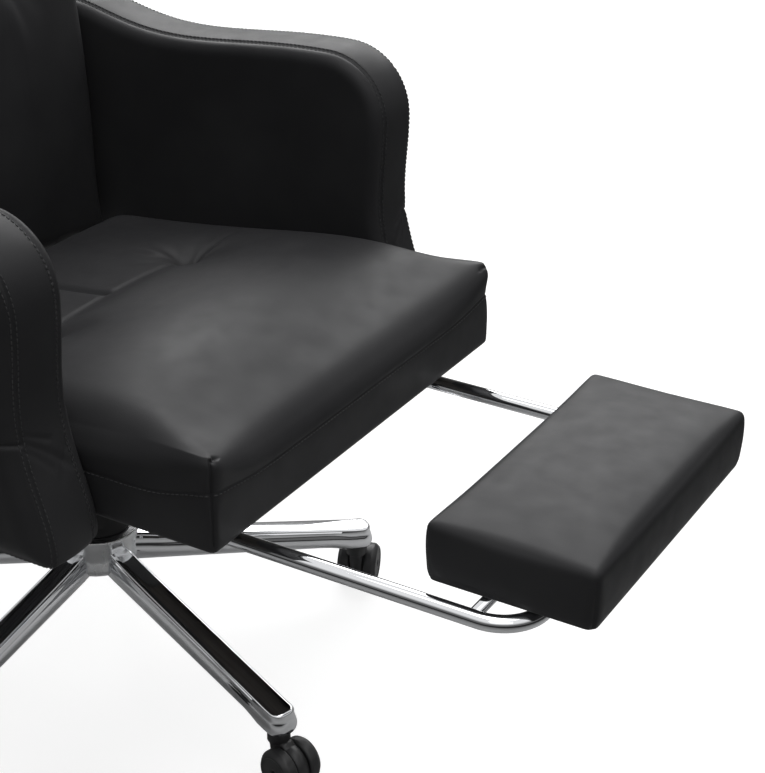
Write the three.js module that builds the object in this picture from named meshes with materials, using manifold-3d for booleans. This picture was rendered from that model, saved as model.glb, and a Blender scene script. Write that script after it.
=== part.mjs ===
// A reclining office chair with closed padded arms and a footrest that flips over and slides in.
// Millimetres, +Z up. The sitter faces -Y and the sitter's left is +X.
// Places are measured from the column's axis and the floor. The last lines move the origin
// to the floor under the middle of the whole chair.
import * as THREE from 'three';
import { mergeVertices } from 'three/addons/utils/BufferGeometryUtils.js';
import Module from 'manifold-3d';

const wasm = await Module();
wasm.setup();

// Clearances
const restGap = 0.3; // between faces that rest on each other
const runGap = 0.4; // round a pin or a slide that moves
const bendGap = 0.8; // between the bent pieces of the back, whose facets differ
const cutOver = 2; // how far a cutter runs past the face that it opens

// Seat cushion and its board
const seatWidth = 520;
const seatFront = -348;
const seatDepth = 506;
const seatRear = seatFront + seatDepth;
const seatBottom = 369;
const seatFrontHeight = 98;
const seatRearHeight = 62;
const seatSeamHeight = 44;
const seatCrown = 16;
const seatPillowRise = 7; // how much the front pillow stands above the two rear panels
const seatRoll = 24;
const seatBottomRoll = 6;
const seatSeamDraw = 3;
const seatSideDraw = 4;
const seatCorner = 16;
const seatBoard = 12;
const seatBoardMargin = 24;

// Sewn tufts, channel and centre seam of the seat and the back
const tuftSpacing = 236;
const tuftFromFront = 297;
const tuftDepth = 17;
const tuftReach = 34;
const channelArch = 15;
const channelDepth = 9;
const channelReach = 11;
const seamDepth = 5;
const seamReach = 8;

// Armrests
const armGap = 2; // between the seat cushion and each arm
const armInner = seatWidth / 2 + armGap;
const armThickness = 73;
const armBulge = 10;
const armBehindSeatFront = 143;
const armFront = seatFront + armBehindSeatFront;
const armBehindSeatRear = 104;
const armRear = seatRear + armBehindSeatRear;
const armBelowSeat = 16;
const armBottom = seatBottom - armBelowSeat;
const armHeight = 302;
const armDip = 11;
const armRearRise = 16;
const armNose = 86;
const armFlare = 25;
const armWaistHeight = 148;
const armWaistDraw = 4;
const armFootCorner = 12;
const armRearCorner = 34;
const armEdgeRoll = 9;
const armSeamDraw = 4;
const armPanelInset = 34;

// Backrest: cushions in front of a board, and a padded shell behind it
const backLift = 23; // from the seat's underside to the back's lower end
const backBottom = seatBottom + backLift;
const backCushionHeight = 504;
const backNarrower = 20;
const backWidth = seatWidth - backNarrower;
const backEdge = 62;
const backGap = 7; // between the seat cushion's rear and the back cushion's lower edge
const backPlane = seatRear + backGap + backEdge; // the rear face of the cushions, low down
const backCrown = 17;
const backRoll = 26;
const backCorner = 20;
const backTuftHeight = 336;
const headHeight = 252;
const headEdge = 68;
const headCrown = 24;
const headNarrower = 30;
const headWidth = backWidth - headNarrower;
const headCorner = 58;
const cushionSplit = 3;
const leanLift = 108;
const leanStart = backBottom + leanLift;
const leanRun = 250;
const leanShare = 0.19; // how far the upper back leans for its height
const backBoard = 12;
const backBoardMargin = 40;
const shellDepth = 58;
const shellRoll = 30;
const shellCorner = 62;
const shellOverhang = 6;
const shellMargin = 26;

// Recline hinges
const hingeBehindSeat = 32;
const hingeY = seatRear + hingeBehindSeat;
const hingeLift = 8;
const hingeHeight = seatBottom + hingeLift;
const hingeInset = 52;
const hingeX = seatWidth / 2 - hingeInset;
const hingePlate = 4;
const hingeFlangeWidth = 34;
const hingeFlangeHeight = 60;
const hingePin = 5;
const hingeEyeWall = 7.6;
const hingeEye = hingePin + runGap + hingeEyeWall;
const hingePinLip = 4;
const hingePinHead = hingePin + hingePinLip;
const hingePinHeadThickness = 3;
const hingeSeatLength = 98;
const hingeSeatStart = seatRear - hingeSeatLength;
const hingeSeatDrop = 20;

// Arm brackets
const bracketThickness = 4;
const bracketBeforeArm = 20;
const bracketStep = armInner - bracketBeforeArm;
const bracketUnderArm = 60;
const bracketOuter = armInner + bracketUnderArm;
const bracketLength = 70;
const bracketBeforeHinge = 10;
const bracketY = hingeSeatStart - bracketBeforeHinge - bracketLength;

// Footrest
const tubeInset = 70; // from the seat's side to the middle of the tube
const tubeSpacing = seatWidth - 2 * tubeInset;
const padInset = 18;
const padWidth = tubeSpacing - 2 * padInset;
const padDepth = 159;
const padAhead = 162; // from the seat's front to the pad's rear
const padFront = seatFront - padAhead - padDepth;
const padHeight = 58;
const padCrown = 6;
const padRoll = 12;
const padCorner = 12;
const padBoard = 9;
const padBoardMargin = 16;
const tubeRadius = 8;
const railCeiling = 17.3;
const tubeHeight = seatBottom - restGap - railCeiling - runGap - tubeRadius;
const tubeUnderPad = 56;
const tubeFront = padFront + tubeUnderPad;
const tubeBend = 42;
const plugLength = 6;
const crossBarRadius = 6;
const crossBarUnderPad = 106;
const crossBarY = padFront + crossBarUnderPad;
const crossBarDrop = 2;
const clipWidth = 30;
const clipSide = 6.6;
const clipDepth = 2 * (crossBarRadius + runGap + clipSide);
const clipInset = 72;
const clipSpacing = padWidth - 2 * clipInset;
const clipWall = 4;
const railBehindFront = 50;
const railFront = seatFront + railBehindFront;
const railBeforeBracket = 8;
const railLength = bracketY - railBeforeBracket - railFront;
const railSide = 4.6;
const railWidth = 2 * (tubeRadius + runGap + railSide);
const railFloor = 3.6;
const tubeInRail = 100;
const tubeRear = railFront + tubeInRail;

// Seat mechanism and the piston in it
const mechPlate = 4;
const mechWidth = 180;
const mechDepth = 250;
const mechBoxWidth = 110;
const mechBoxDepth = 170;
const mechBoxHeight = 30;
const mechTop = seatBottom - restGap;
const mechUnder = mechTop - mechPlate;
const mechBoxBottom = mechUnder - mechBoxHeight;
const pistonRadius = 14;
const socketWall = 8;
const socketRadius = pistonRadius + socketWall;
const socketLength = 16;
const socketBottom = mechBoxBottom - socketLength;
const pistonBelowPlate = 12.7;
const pistonTop = mechUnder - pistonBelowPlate;

// The inner end of each arm bracket, beyond the mechanism's plate
const bracketBeyondPlate = 30;
const bracketInner = mechWidth / 2 + bracketBeyondPlate;

// Levers at the two sides of the mechanism
const leverRod = 4;
const leverDrop = 42;
const leverY = 20;
const leverPinRadius = 2.5;
const leverEye = 7;
const leverEyeWidth = 8;
const leverGap = 4;
const leverPivotX = mechBoxWidth / 2 + leverGap + leverEye;
const leverPastArm = 30;
const leverReach = armInner + leverPastArm - leverPivotX;
const leverBelowPlate = 16.7;
const leverPivotHeight = mechUnder - leverBelowPlate;
const lugThickness = 3;
const gripLength = 66;
const gripWidth = 26;
const gripWall = 2.2;
const gripThickness = 2 * (leverRod + restGap + gripWall);
const gripBevel = 3;
const gripHold = 22;

// Casters
const wheelRadius = 25;
const wheelWidth = 16;
const wheelSides = 18;
const treadEdge = 2;
const wheelRim = 6;
const wheelDish = 3;
const webInset = 3;
const webRadius = wheelRadius - webInset;
const casterTrail = 18;
const axleRadius = 3;
const stemRadius = 5;
const stemLength = 50;
const stemInNose = 20;
const webSide = 2.2;
const webWidth = 2 * (stemRadius + restGap + webSide);
const towerWall = 7;
const towerRadius = stemRadius + towerWall;
const towerHeight = 12;
const casterDegrees = [-106, 20, 40, 160, 50];

// Star base
const legCount = 5;
const legRadius = 317;
const firstLegDegrees = -107.4;
const legWidthHub = 30;
const legWidthTip = 35;
const legHeightHub = 32;
const legHeightTip = 23;
const legEdge = 6;
const legWall = 3;
const noseAboveWheels = 11.5;
const noseBottom = 2 * wheelRadius + noseAboveWheels;
const noseRadius = 18;
const noseHeight = 27;
const noseFillet = 7;
const hubBottom = 117;
const hubHeight = 48;
const legLift = 20;
const legMiddleHub = hubBottom + legLift;
const cylinderWall = 11;
const cylinderRadius = pistonRadius + cylinderWall;
const hubWall = 19;
const hubRadius = cylinderRadius + hubWall;
const hubWaist = 3;
const hubFlare = 4;

// Column and its covers
const cylinderInHub = 1; // from the hub's lower face up to the cylinder's
const cylinderBottom = hubBottom + cylinderInHub;
const cylinderLength = 144;
const cylinderTop = cylinderBottom + cylinderLength;
const pistonInCylinder = 112;
const pistonBottom = cylinderTop - pistonInCylinder;
const coverWall = 2.5;
const coverFlare = 9;
const coverBelowCylinder = 27;
const lowerCoverTop = cylinderTop - coverBelowCylinder;
const coverOverlap = 30;
const upperCoverBottom = lowerCoverTop - coverOverlap;
const coverBelowSocket = 3.7;
const upperCoverTop = socketBottom - coverBelowSocket;

// Materials
const finish = (color, roughness, metalness) =>
  new THREE.MeshStandardMaterial({ color, roughness, metalness });
const leather = finish(0x1b1b1d, 0.48, 0);
const chrome = finish(0xd8dadd, 0.08, 1);
const steel = finish(0x2a2b2d, 0.45, 0.6);
const plastic = finish(0x151517, 0.5, 0);
const nylon = finish(0x1d1d1f, 0.42, 0);
const plywood = finish(0x3a3028, 0.7, 0);

const roundSides = 20;
const smallSides = 12;
const sign = { left: 1, right: -1 };
const radians = THREE.MathUtils.degToRad;
const model = new THREE.Group();

function add(name, geometry, material) {
  const mesh = new THREE.Mesh(geometry, material);
  mesh.name = name;
  model.add(mesh);
}

// Solids and booleans
function signedVolume(positions, triangles) {
  let six = 0;
  for (let i = 0; i < triangles.length; i += 3) {
    const [a, b, c] = [0, 1, 2].map((k) =>
      new THREE.Vector3().fromArray(positions, 3 * triangles[i + k]));
    six += a.dot(b.clone().cross(c));
  }
  return six;
}

// A closed surface from points and triangles, turned to face outwards.
function closed(points, triangles) {
  const positions = points.flatMap((p) => p.toArray());
  const faces = [...triangles];
  if (signedVolume(positions, faces) < 0) {
    for (let i = 0; i < faces.length; i += 3) {
      [faces[i], faces[i + 1]] = [faces[i + 1], faces[i]];
    }
  }
  const geometry = new THREE.BufferGeometry();
  geometry.setAttribute('position', new THREE.Float32BufferAttribute(positions, 3));
  geometry.setIndex(faces);
  return geometry;
}

function solid(geometry) {
  const bare = new THREE.BufferGeometry();
  bare.setAttribute('position', geometry.getAttribute('position').clone());
  if (geometry.index) bare.setIndex(geometry.index.clone());
  const merged = mergeVertices(bare);
  return new wasm.Manifold(new wasm.Mesh({
    numProp: 3,
    vertProperties: merged.attributes.position.array,
    triVerts: new Uint32Array(merged.index.array),
  }));
}

function shown(manifold) {
  const mesh = manifold.getMesh();
  const geometry = new THREE.BufferGeometry();
  geometry.setAttribute('position', new THREE.BufferAttribute(mesh.vertProperties, 3));
  geometry.setIndex(new THREE.BufferAttribute(mesh.triVerts, 1));
  return geometry;
}

function carved(joined, removed = []) {
  let body = solid(joined[0]);
  for (const piece of joined.slice(1)) body = body.add(solid(piece));
  for (const piece of removed) body = body.subtract(solid(piece));
  return shown(body);
}

// Simple shapes
function box(x0, x1, y0, y1, z0, z1) {
  return new THREE.BoxGeometry(x1 - x0, y1 - y0, z1 - z0)
    .translate((x0 + x1) / 2, (y0 + y1) / 2, (z0 + z1) / 2);
}

function rod(radius, length, sides = smallSides) {
  return new THREE.CylinderGeometry(radius, radius, length, sides);
}

// A round bar along X, Y or Z from its first end.
const barX = (radius, x0, x1, y, z, sides) =>
  rod(radius, x1 - x0, sides).rotateZ(Math.PI / 2).translate((x0 + x1) / 2, y, z);
const barY = (radius, x, y0, y1, z, sides) =>
  rod(radius, y1 - y0, sides).translate(x, (y0 + y1) / 2, z);
const barZ = (radius, x, y, z0, z1, sides) =>
  rod(radius, z1 - z0, sides).rotateX(Math.PI / 2).translate(x, y, (z0 + z1) / 2);

// A ring or bell about the vertical axis: its profile's points are [radius, height].
function turned(profile, sides = roundSides) {
  const points = profile.map(([radius, height]) => new THREE.Vector2(radius, height));
  const lathe = new THREE.LatheGeometry(points, sides).rotateX(Math.PI / 2);
  const merged = mergeVertices(new THREE.BufferGeometry()
    .setAttribute('position', lathe.getAttribute('position'))
    .setIndex(lathe.index));
  return shownOutward(merged);
}

function shownOutward(geometry) {
  const place = geometry.getAttribute('position');
  const points = Array.from({ length: place.count }, (_, i) =>
    new THREE.Vector3().fromBufferAttribute(place, i));
  const faces = [];
  const index = geometry.index.array;
  for (let i = 0; i < index.length; i += 3) {
    const corner = [index[i], index[i + 1], index[i + 2]];
    if (new Set(corner).size === 3) faces.push(...corner);
  }
  return closed(points, faces);
}

// A flat plate cut to an outline in Y and Z, from x0 towards +X.
function sidePlate(shape, x0, thickness) {
  return new THREE.ExtrudeGeometry(shape, { depth: thickness, bevelEnabled: false, curveSegments: 8 })
    .rotateY(Math.PI / 2)
    .rotateX(Math.PI / 2)
    .translate(x0, 0, 0);
}

// Lofts
function bridge(triangles, lower, upper) {
  const count = lower.length;
  for (let i = 0; i < count; i += 1) {
    const next = (i + 1) % count;
    triangles.push(lower[i], lower[next], upper[next], lower[i], upper[next], upper[i]);
  }
}

function loft(rings) {
  const points = rings.flat();
  const count = rings[0].length;
  const triangles = [];
  const indices = rings.map((_, r) => Array.from({ length: count }, (_, i) => r * count + i));
  for (let r = 0; r + 1 < rings.length; r += 1) bridge(triangles, indices[r], indices[r + 1]);
  return { points, triangles, first: indices[0], last: indices[rings.length - 1] };
}

// Closes both ends of a loft whose sections are convex.
function capped({ points, triangles, first, last }) {
  for (let i = 1; i + 1 < first.length; i += 1) {
    triangles.push(first[0], first[i + 1], first[i]);
    triangles.push(last[0], last[i], last[i + 1]);
  }
  return closed(points, triangles);
}

// A padded panel: an anticlockwise outline in Y and Z, drawn in by an inset at each station along X.
function paddedPanel(outline, stations, side) {
  const inward = outline.map((_, i) => {
    const ahead = outline[(i + 1) % outline.length];
    const behind = outline[(i + outline.length - 1) % outline.length];
    const along = ahead.clone().sub(behind).normalize();
    return new THREE.Vector2(-along.y, along.x);
  });
  const rings = stations.map(({ x, inset }) => outline.map((p, i) => new THREE.Vector3(
    side * x, p.x + inward[i].x * inset, p.y + inward[i].y * inset)));
  const { points, triangles, first, last } = loft(rings);
  const caps = THREE.ShapeUtils.triangulateShape(outline, []);
  for (const [a, b, c] of caps) {
    triangles.push(first[c], first[b], first[a]);
    triangles.push(last[a], last[b], last[c]);
  }
  return closed(points, triangles);
}

// Cushions
// Squares the corner of a rectangle off to a round one, for points inside it too.
function roundedPlace(x, y, halfX, halfY, corner) {
  const beyondX = Math.abs(x) - (halfX - corner);
  const beyondY = Math.abs(y) - (halfY - corner);
  if (beyondX <= 0 || beyondY <= 0) return [x, y];
  const reach = Math.max(beyondX, beyondY) / Math.hypot(beyondX, beyondY);
  return [
    Math.sign(x) * (halfX - corner + beyondX * reach),
    Math.sign(y) * (halfY - corner + beyondY * reach),
  ];
}

// The loop of grid places round the edge of a cushion.
function edgeLoop(columns, rows) {
  const loop = [];
  for (let i = 0; i < columns; i += 1) loop.push([i, 0]);
  for (let j = 1; j < rows; j += 1) loop.push([columns - 1, j]);
  for (let i = columns - 2; i >= 0; i -= 1) loop.push([i, rows - 1]);
  for (let j = rows - 2; j > 0; j -= 1) loop.push([0, j]);
  return loop;
}

// Closes the loop from below in strips from side to side, so that it bends with its rows.
function closeBelow(triangles, loop, columns, rows) {
  const right = (j) => loop[columns - 1 + j];
  const left = (j) => loop[(loop.length - j) % loop.length];
  for (let i = 1; i < columns; i += 1) triangles.push(loop[i], loop[i - 1], left(1));
  triangles.push(right(1), right(0), left(1));
  for (let j = 1; j + 2 < rows; j += 1) {
    triangles.push(right(j), left(j), left(j + 1), right(j), left(j + 1), right(j + 1));
  }
  const far = columns - 1 + rows - 1;
  for (let i = 0; i + 1 < columns; i += 1) {
    triangles.push(loop[far + i + 1], loop[far + i], right(rows - 2));
  }
  triangles.push(left(rows - 2), loop[far + columns - 1], right(rows - 2));
}

// A boxed cushion lying flat. Its underside is at height 0 with a pocket for a board, its rings
// climb the side, and its top is a grid that follows the crown, tufts and channels.
function cushion(spec) {
  const { columnShares, rowShares, start, depth, corner, draw } = spec;
  const middle = start + depth / 2;
  const place = (u, v, inset) => {
    const across = 2 * v - 1;
    const halfX = spec.halfWidth(v) - inset - draw * (1 - across * across);
    const halfY = depth / 2 - inset - draw * (1 - u * u);
    const [x, y] = roundedPlace(u * halfX, across * halfY, halfX, halfY, corner(v));
    return [x, middle + y];
  };
  const pocketPlace = (u, v) => {
    const halfX = spec.halfWidth(v) - spec.pocketMargin;
    return [u * halfX, middle + (2 * v - 1) * (depth / 2 - spec.pocketMargin)];
  };
  const points = [];
  const triangles = [];
  const put = (x, y, z) => points.push(spec.map(x, y, z)) - 1;
  const loop = edgeLoop(columnShares.length, rowShares.length);
  const ring = ({ inset, height }) => loop.map(([i, j]) => {
    const [u, v] = [columnShares[i], rowShares[j]];
    return put(...place(u, v, inset), height(v));
  });
  const pocketRing = (height) => loop.map(([i, j]) =>
    put(...pocketPlace(columnShares[i], rowShares[j]), height));
  const rings = [pocketRing(spec.pocketDepth), pocketRing(0), ...spec.rings.map(ring)];
  for (let r = 0; r + 1 < rings.length; r += 1) bridge(triangles, rings[r], rings[r + 1]);
  closeBelow(triangles, rings[0], columnShares.length, rowShares.length);
  const grid = columnShares.map(() => []);
  const last = rings[rings.length - 1];
  loop.forEach(([i, j], k) => {
    grid[i][j] = last[k];
  });
  const topInset = spec.rings[spec.rings.length - 1].inset;
  for (let i = 1; i + 1 < columnShares.length; i += 1) {
    for (let j = 1; j + 1 < rowShares.length; j += 1) {
      const [u, v] = [columnShares[i], rowShares[j]];
      const [x, y] = place(u, v, topInset);
      const bent = y + spec.rowBend(x, v);
      grid[i][j] = put(x, bent, spec.top(x, bent, u, v));
    }
  }
  for (let i = 0; i + 1 < columnShares.length; i += 1) {
    for (let j = 0; j + 1 < rowShares.length; j += 1) {
      const [a, b] = [grid[i][j], grid[i + 1][j]];
      const [c, d] = [grid[i + 1][j + 1], grid[i][j + 1]];
      triangles.push(a, b, c, a, c, d);
    }
  }
  return closed(points, triangles);
}

const between = (from, to, share) => from + (to - from) * share;
const dome = (u, v) => (1 - u ** 4) * (1 - (2 * v - 1) ** 4);
const fade = (distance, reach) => Math.exp(-((distance / reach) ** 2));
const noBend = () => 0;

// The arc that the sewn channel follows from tuft to tuft, as a step from the tufts' line.
function channelStep(x) {
  const share = Math.min(Math.abs(x) / (tuftSpacing / 2), 1);
  return channelArch * (1 - share ** 3);
}

// How deep the tufts, the channel between them and the centre seam pull the cover in.
function sewnDepth(x, y, tuftLine, seamSide) {
  const toTuft = Math.hypot(Math.abs(x) - tuftSpacing / 2, y - tuftLine);
  const beyond = (y - tuftLine) * seamSide - channelStep(x);
  const inChannel = Math.abs(x) <= tuftSpacing / 2;
  const channel = inChannel ? channelDepth * fade(beyond, channelReach) : 0;
  const seam = beyond > 0 ? seamDepth * fade(x, seamReach) : 0;
  return Math.max(tuftDepth * fade(toTuft, tuftReach), channel, seam);
}

const edgeShare = 0.035; // from the edge of a cushion to its second row of points
const seamShare = 0.035;
const tuftHalfwayShare = 0.45;

// The columns of a tufted cushion, from side to side, with three at each tuft.
function tuftedColumns(width) {
  const tuftShare = tuftSpacing / width;
  const besideShare = tuftReach / 2 / width;
  const beyondShares = [0.36, 0.7, 1];
  const halfShares = [
    seamShare, tuftShare * tuftHalfwayShare,
    tuftShare - besideShare, tuftShare, tuftShare + besideShare,
    ...beyondShares.map((share) => between(tuftShare + besideShare, 1 - 2 * edgeShare, share)),
    1 - edgeShare, 1,
  ];
  return [...halfShares.map((share) => -share).reverse(), 0, ...halfShares];
}

// The rows of a tufted cushion, from end to end, with three at the line of the tufts.
function tuftedRows(length, tuftLength) {
  const tuftShare = tuftLength / length;
  const besideShare = channelReach / length;
  const beforeShares = [0, 0.25, 0.5, 0.75, 1];
  const afterShares = [0.25, 0.55, 0.8, 1];
  return [
    0, edgeShare,
    ...beforeShares.map((share) => between(2 * edgeShare, tuftShare - besideShare, share)),
    tuftShare, tuftShare + besideShare,
    ...afterShares.map((share) => between(tuftShare + besideShare, 1 - 2 * edgeShare, share)),
    1 - edgeShare, 1,
  ];
}

function buildSeat() {
  const tuftShare = tuftFromFront / seatDepth;
  const edge = (v) => between(seatFrontHeight, seatRearHeight, v);
  const rise = (share) => (v) => between(Math.min(seatSeamHeight, edge(v)), edge(v), share);
  const tuftLine = seatFront + tuftFromFront;
  const geometry = cushion({
    columnShares: tuftedColumns(seatWidth),
    rowShares: tuftedRows(seatDepth, tuftFromFront),
    start: seatFront,
    depth: seatDepth,
    halfWidth: () => seatWidth / 2,
    corner: () => seatCorner,
    draw: seatSideDraw,
    pocketMargin: seatBoardMargin,
    pocketDepth: seatBoard + restGap,
    rings: [
      { inset: seatBottomRoll, height: () => 0 },
      { inset: 0, height: () => seatBottomRoll },
      { inset: seatSeamDraw, height: rise(0) },
      { inset: 0, height: rise(0.35) },
      { inset: seatRoll * 0.25, height: rise(0.8) },
      { inset: seatRoll, height: edge },
    ],
    rowBend: (x, v) => channelStep(x) * fade(v - tuftShare, tuftShare / 2),
    top: (x, y, u, v) => {
      const pillow = seatPillowRise * fade(Math.max(v - tuftShare / 2, 0), tuftShare / 2);
      return edge(v) + (seatCrown + pillow) * dome(u, v) - sewnDepth(x, y, tuftLine, 1);
    },
    map: (x, y, z) => new THREE.Vector3(x, y, seatBottom + z),
  });
  add('seat_cushion', geometry, leather);
  const inset = seatBoardMargin + restGap;
  const halfBoard = seatWidth / 2 - inset;
  const boardFront = seatFront + inset;
  const boardRear = seatRear - inset;
  add('seat_board',
    box(-halfBoard, halfBoard, boardFront, boardRear, seatBottom, seatBottom + seatBoard), plywood);
}

// How far the back leans away from its lower end at a height.
function lean(height) {
  const above = Math.max(height - leanStart, 0);
  const curved = Math.min(above, leanRun);
  return leanShare * (curved * curved / (2 * leanRun) + above - curved);
}

const backTop = backBottom + backCushionHeight + cushionSplit + headHeight;
const shellBottom = backBottom - shellOverhang;
const shellHeight = backTop + shellOverhang - shellBottom;
const shellFront = backPlane + bendGap;
const boardSeat = backPlane + bendGap;
const plateSeat = boardSeat + backBoard + restGap;
const shellPocket = plateSeat + hingePlate + restGap - shellFront;

function buildBackCushion() {
  const tuftShare = backTuftHeight / backCushionHeight;
  const rise = (share) => () => backEdge * share;
  const tuftLine = backBottom + backTuftHeight;
  add('back_cushion', cushion({
    columnShares: tuftedColumns(backWidth),
    rowShares: tuftedRows(backCushionHeight, backTuftHeight),
    start: backBottom,
    depth: backCushionHeight,
    halfWidth: () => backWidth / 2,
    corner: () => backCorner,
    draw: seatSideDraw,
    pocketMargin: backBoardMargin,
    pocketDepth: restGap,
    rings: [
      { inset: seatBottomRoll, height: () => 0 },
      { inset: 0, height: () => seatBottomRoll },
      { inset: seatSeamDraw, height: rise(0.55) },
      { inset: 0, height: rise(0.72) },
      { inset: backRoll * 0.25, height: rise(0.92) },
      { inset: backRoll, height: rise(1) },
    ],
    rowBend: (x, v) => -channelStep(x) * fade(v - tuftShare, tuftShare / 2),
    top: (x, y, u, v) => backEdge + backCrown * dome(u, v) - sewnDepth(x, y, tuftLine, -1),
    map: (x, y, z) => new THREE.Vector3(x, backPlane - z + lean(y), y),
  }), leather);
}

function buildHeadCushion() {
  const rowShares = [0, 0.06, 0.12, 0.3, 0.5, 0.7, 0.8, 0.88, 0.94, 1];
  const headColumnShares = [
    -1, -0.94, -0.88, -0.8, -0.6, -0.3, 0, 0.3, 0.6, 0.8, 0.88, 0.94, 1,
  ];
  const rise = (share) => () => headEdge * share;
  const start = backBottom + backCushionHeight + cushionSplit;
  add('head_cushion', cushion({
    columnShares: headColumnShares,
    rowShares,
    start,
    depth: headHeight,
    halfWidth: (v) => between(backWidth, headWidth, v * v) / 2,
    corner: (v) => between(backCorner, headCorner, v),
    draw: seatSideDraw,
    pocketMargin: backBoardMargin,
    pocketDepth: restGap,
    rings: [
      { inset: seatBottomRoll, height: () => 0 },
      { inset: 0, height: () => seatBottomRoll },
      { inset: seatSeamDraw, height: rise(0.55) },
      { inset: 0, height: rise(0.72) },
      { inset: backRoll * 0.25, height: rise(0.92) },
      { inset: backRoll, height: rise(1) },
    ],
    rowBend: noBend,
    top: (x, y, u, v) => headEdge + headCrown * dome(u, v),
    map: (x, y, z) => new THREE.Vector3(x, backPlane - z + lean(y), y),
  }), leather);
}

// The board is bent to the back's lean, in even steps.
function buildBackBoard() {
  const steps = 12;
  const low = backBottom + backBoardMargin;
  const high = backTop - backBoardMargin;
  const half = headWidth / 2 - backBoardMargin;
  const rings = Array.from({ length: steps + 1 }, (_, k) => {
    const z = between(low, high, k / steps);
    const y = boardSeat + lean(z);
    return [[-half, y], [half, y], [half, y + backBoard], [-half, y + backBoard]]
      .map(([px, py]) => new THREE.Vector3(px, py, z));
  });
  add('back_board', capped(loft(rings)), plywood);
}

function buildBackShell() {
  const rowShares = [
    0, 0.04, 0.08, 0.14, 0.24, 0.34, 0.44, 0.55, 0.66, 0.77, 0.86, 0.92, 0.96, 1,
  ];
  const shellColumnShares = [
    -1, -0.94, -0.88, -0.76, -0.5, 0, 0.5, 0.76, 0.88, 0.94, 1,
  ];
  const rise = (share) => () => shellDepth * share;
  const half = (v) => between(backWidth, headWidth, v ** 4) / 2;
  const body = cushion({
    columnShares: shellColumnShares,
    rowShares,
    start: shellBottom,
    depth: shellHeight,
    halfWidth: half,
    corner: (v) => between(backCorner, shellCorner, v),
    draw: 0,
    pocketMargin: shellMargin,
    pocketDepth: shellPocket,
    rings: [
      { inset: seatBottomRoll / 2, height: () => 0 },
      { inset: 0, height: rise(0.1) },
      { inset: 0, height: rise(0.45) },
      { inset: shellRoll * 0.3, height: rise(0.85) },
      { inset: shellRoll, height: rise(1) },
    ],
    rowBend: noBend,
    top: () => shellDepth,
    map: (x, y, z) => new THREE.Vector3(x, shellFront + z + lean(y), y),
  });
  const slots = Object.values(sign).map((side) => {
    const middle = side * (hingeX + runGap + hingePlate - hingeFlangeWidth / 2);
    const halfSlot = hingeFlangeWidth / 2 + runGap;
    return box(middle - halfSlot, middle + halfSlot, plateSeat - restGap, shellFront + shellPocket,
      shellBottom - cutOver, shellBottom + shellMargin + cutOver);
  });
  add('back_shell', carved([body], slots), leather);
}

// The hinge plates: one under the seat board with the pin, one on the back board with the eye.
function buildHinges(side, name) {
  const seatEar = new THREE.Shape();
  const top = seatBottom - restGap;
  seatEar.moveTo(hingeSeatStart, top);
  seatEar.lineTo(hingeSeatStart, top - hingeSeatDrop);
  seatEar.lineTo(seatRear, top - hingeSeatDrop);
  seatEar.lineTo(hingeY, hingeHeight - hingeEye);
  seatEar.absarc(hingeY, hingeHeight, hingeEye, -Math.PI / 2, Math.PI, false);
  seatEar.lineTo(seatRear + hingePlate, top);
  const inner = hingeX - hingePlate;
  const eyeFace = hingeX + runGap;
  const pinEnd = eyeFace + hingePlate + runGap;
  const seatPieces = [
    sidePlate(seatEar, inner, hingePlate),
    box(hingeX - hingeFlangeWidth, hingeX - hingePlate / 2,
      hingeSeatStart, seatRear - seatBoardMargin, top - hingePlate, top),
    barX(hingePin, inner + hingePlate / 2, pinEnd + hingePinHeadThickness / 2, hingeY, hingeHeight),
    barX(hingePinHead, pinEnd, pinEnd + hingePinHeadThickness, hingeY, hingeHeight),
  ];
  const backEar = new THREE.Shape();
  const plateRear = plateSeat + hingePlate;
  backEar.moveTo(plateRear, shellBottom - restGap);
  backEar.lineTo(plateRear, hingeHeight - hingeEye);
  backEar.lineTo(hingeY, hingeHeight - hingeEye);
  backEar.absarc(hingeY, hingeHeight, hingeEye, -Math.PI / 2, Math.PI / 2, true);
  backEar.lineTo(shellFront - cutOver, shellBottom - restGap);
  const flangeX = eyeFace + hingePlate - hingeFlangeWidth;
  const backPieces = [
    sidePlate(backEar, eyeFace, hingePlate),
    box(flangeX, eyeFace + hingePlate, plateSeat, plateRear,
      hingeHeight, backBottom + backBoardMargin + hingeFlangeHeight),
  ];
  const eyeHole = barX(hingePin + runGap, eyeFace - cutOver, eyeFace + hingePlate + cutOver,
    hingeY, hingeHeight);
  const turn = (geometry) => shownOutward(geometry.scale(side, 1, 1));
  add(`hinge_seat_plate_${name}`, turn(carved(seatPieces)), steel);
  add(`hinge_back_plate_${name}`, turn(carved(backPieces, [eyeHole])), steel);
}

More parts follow.
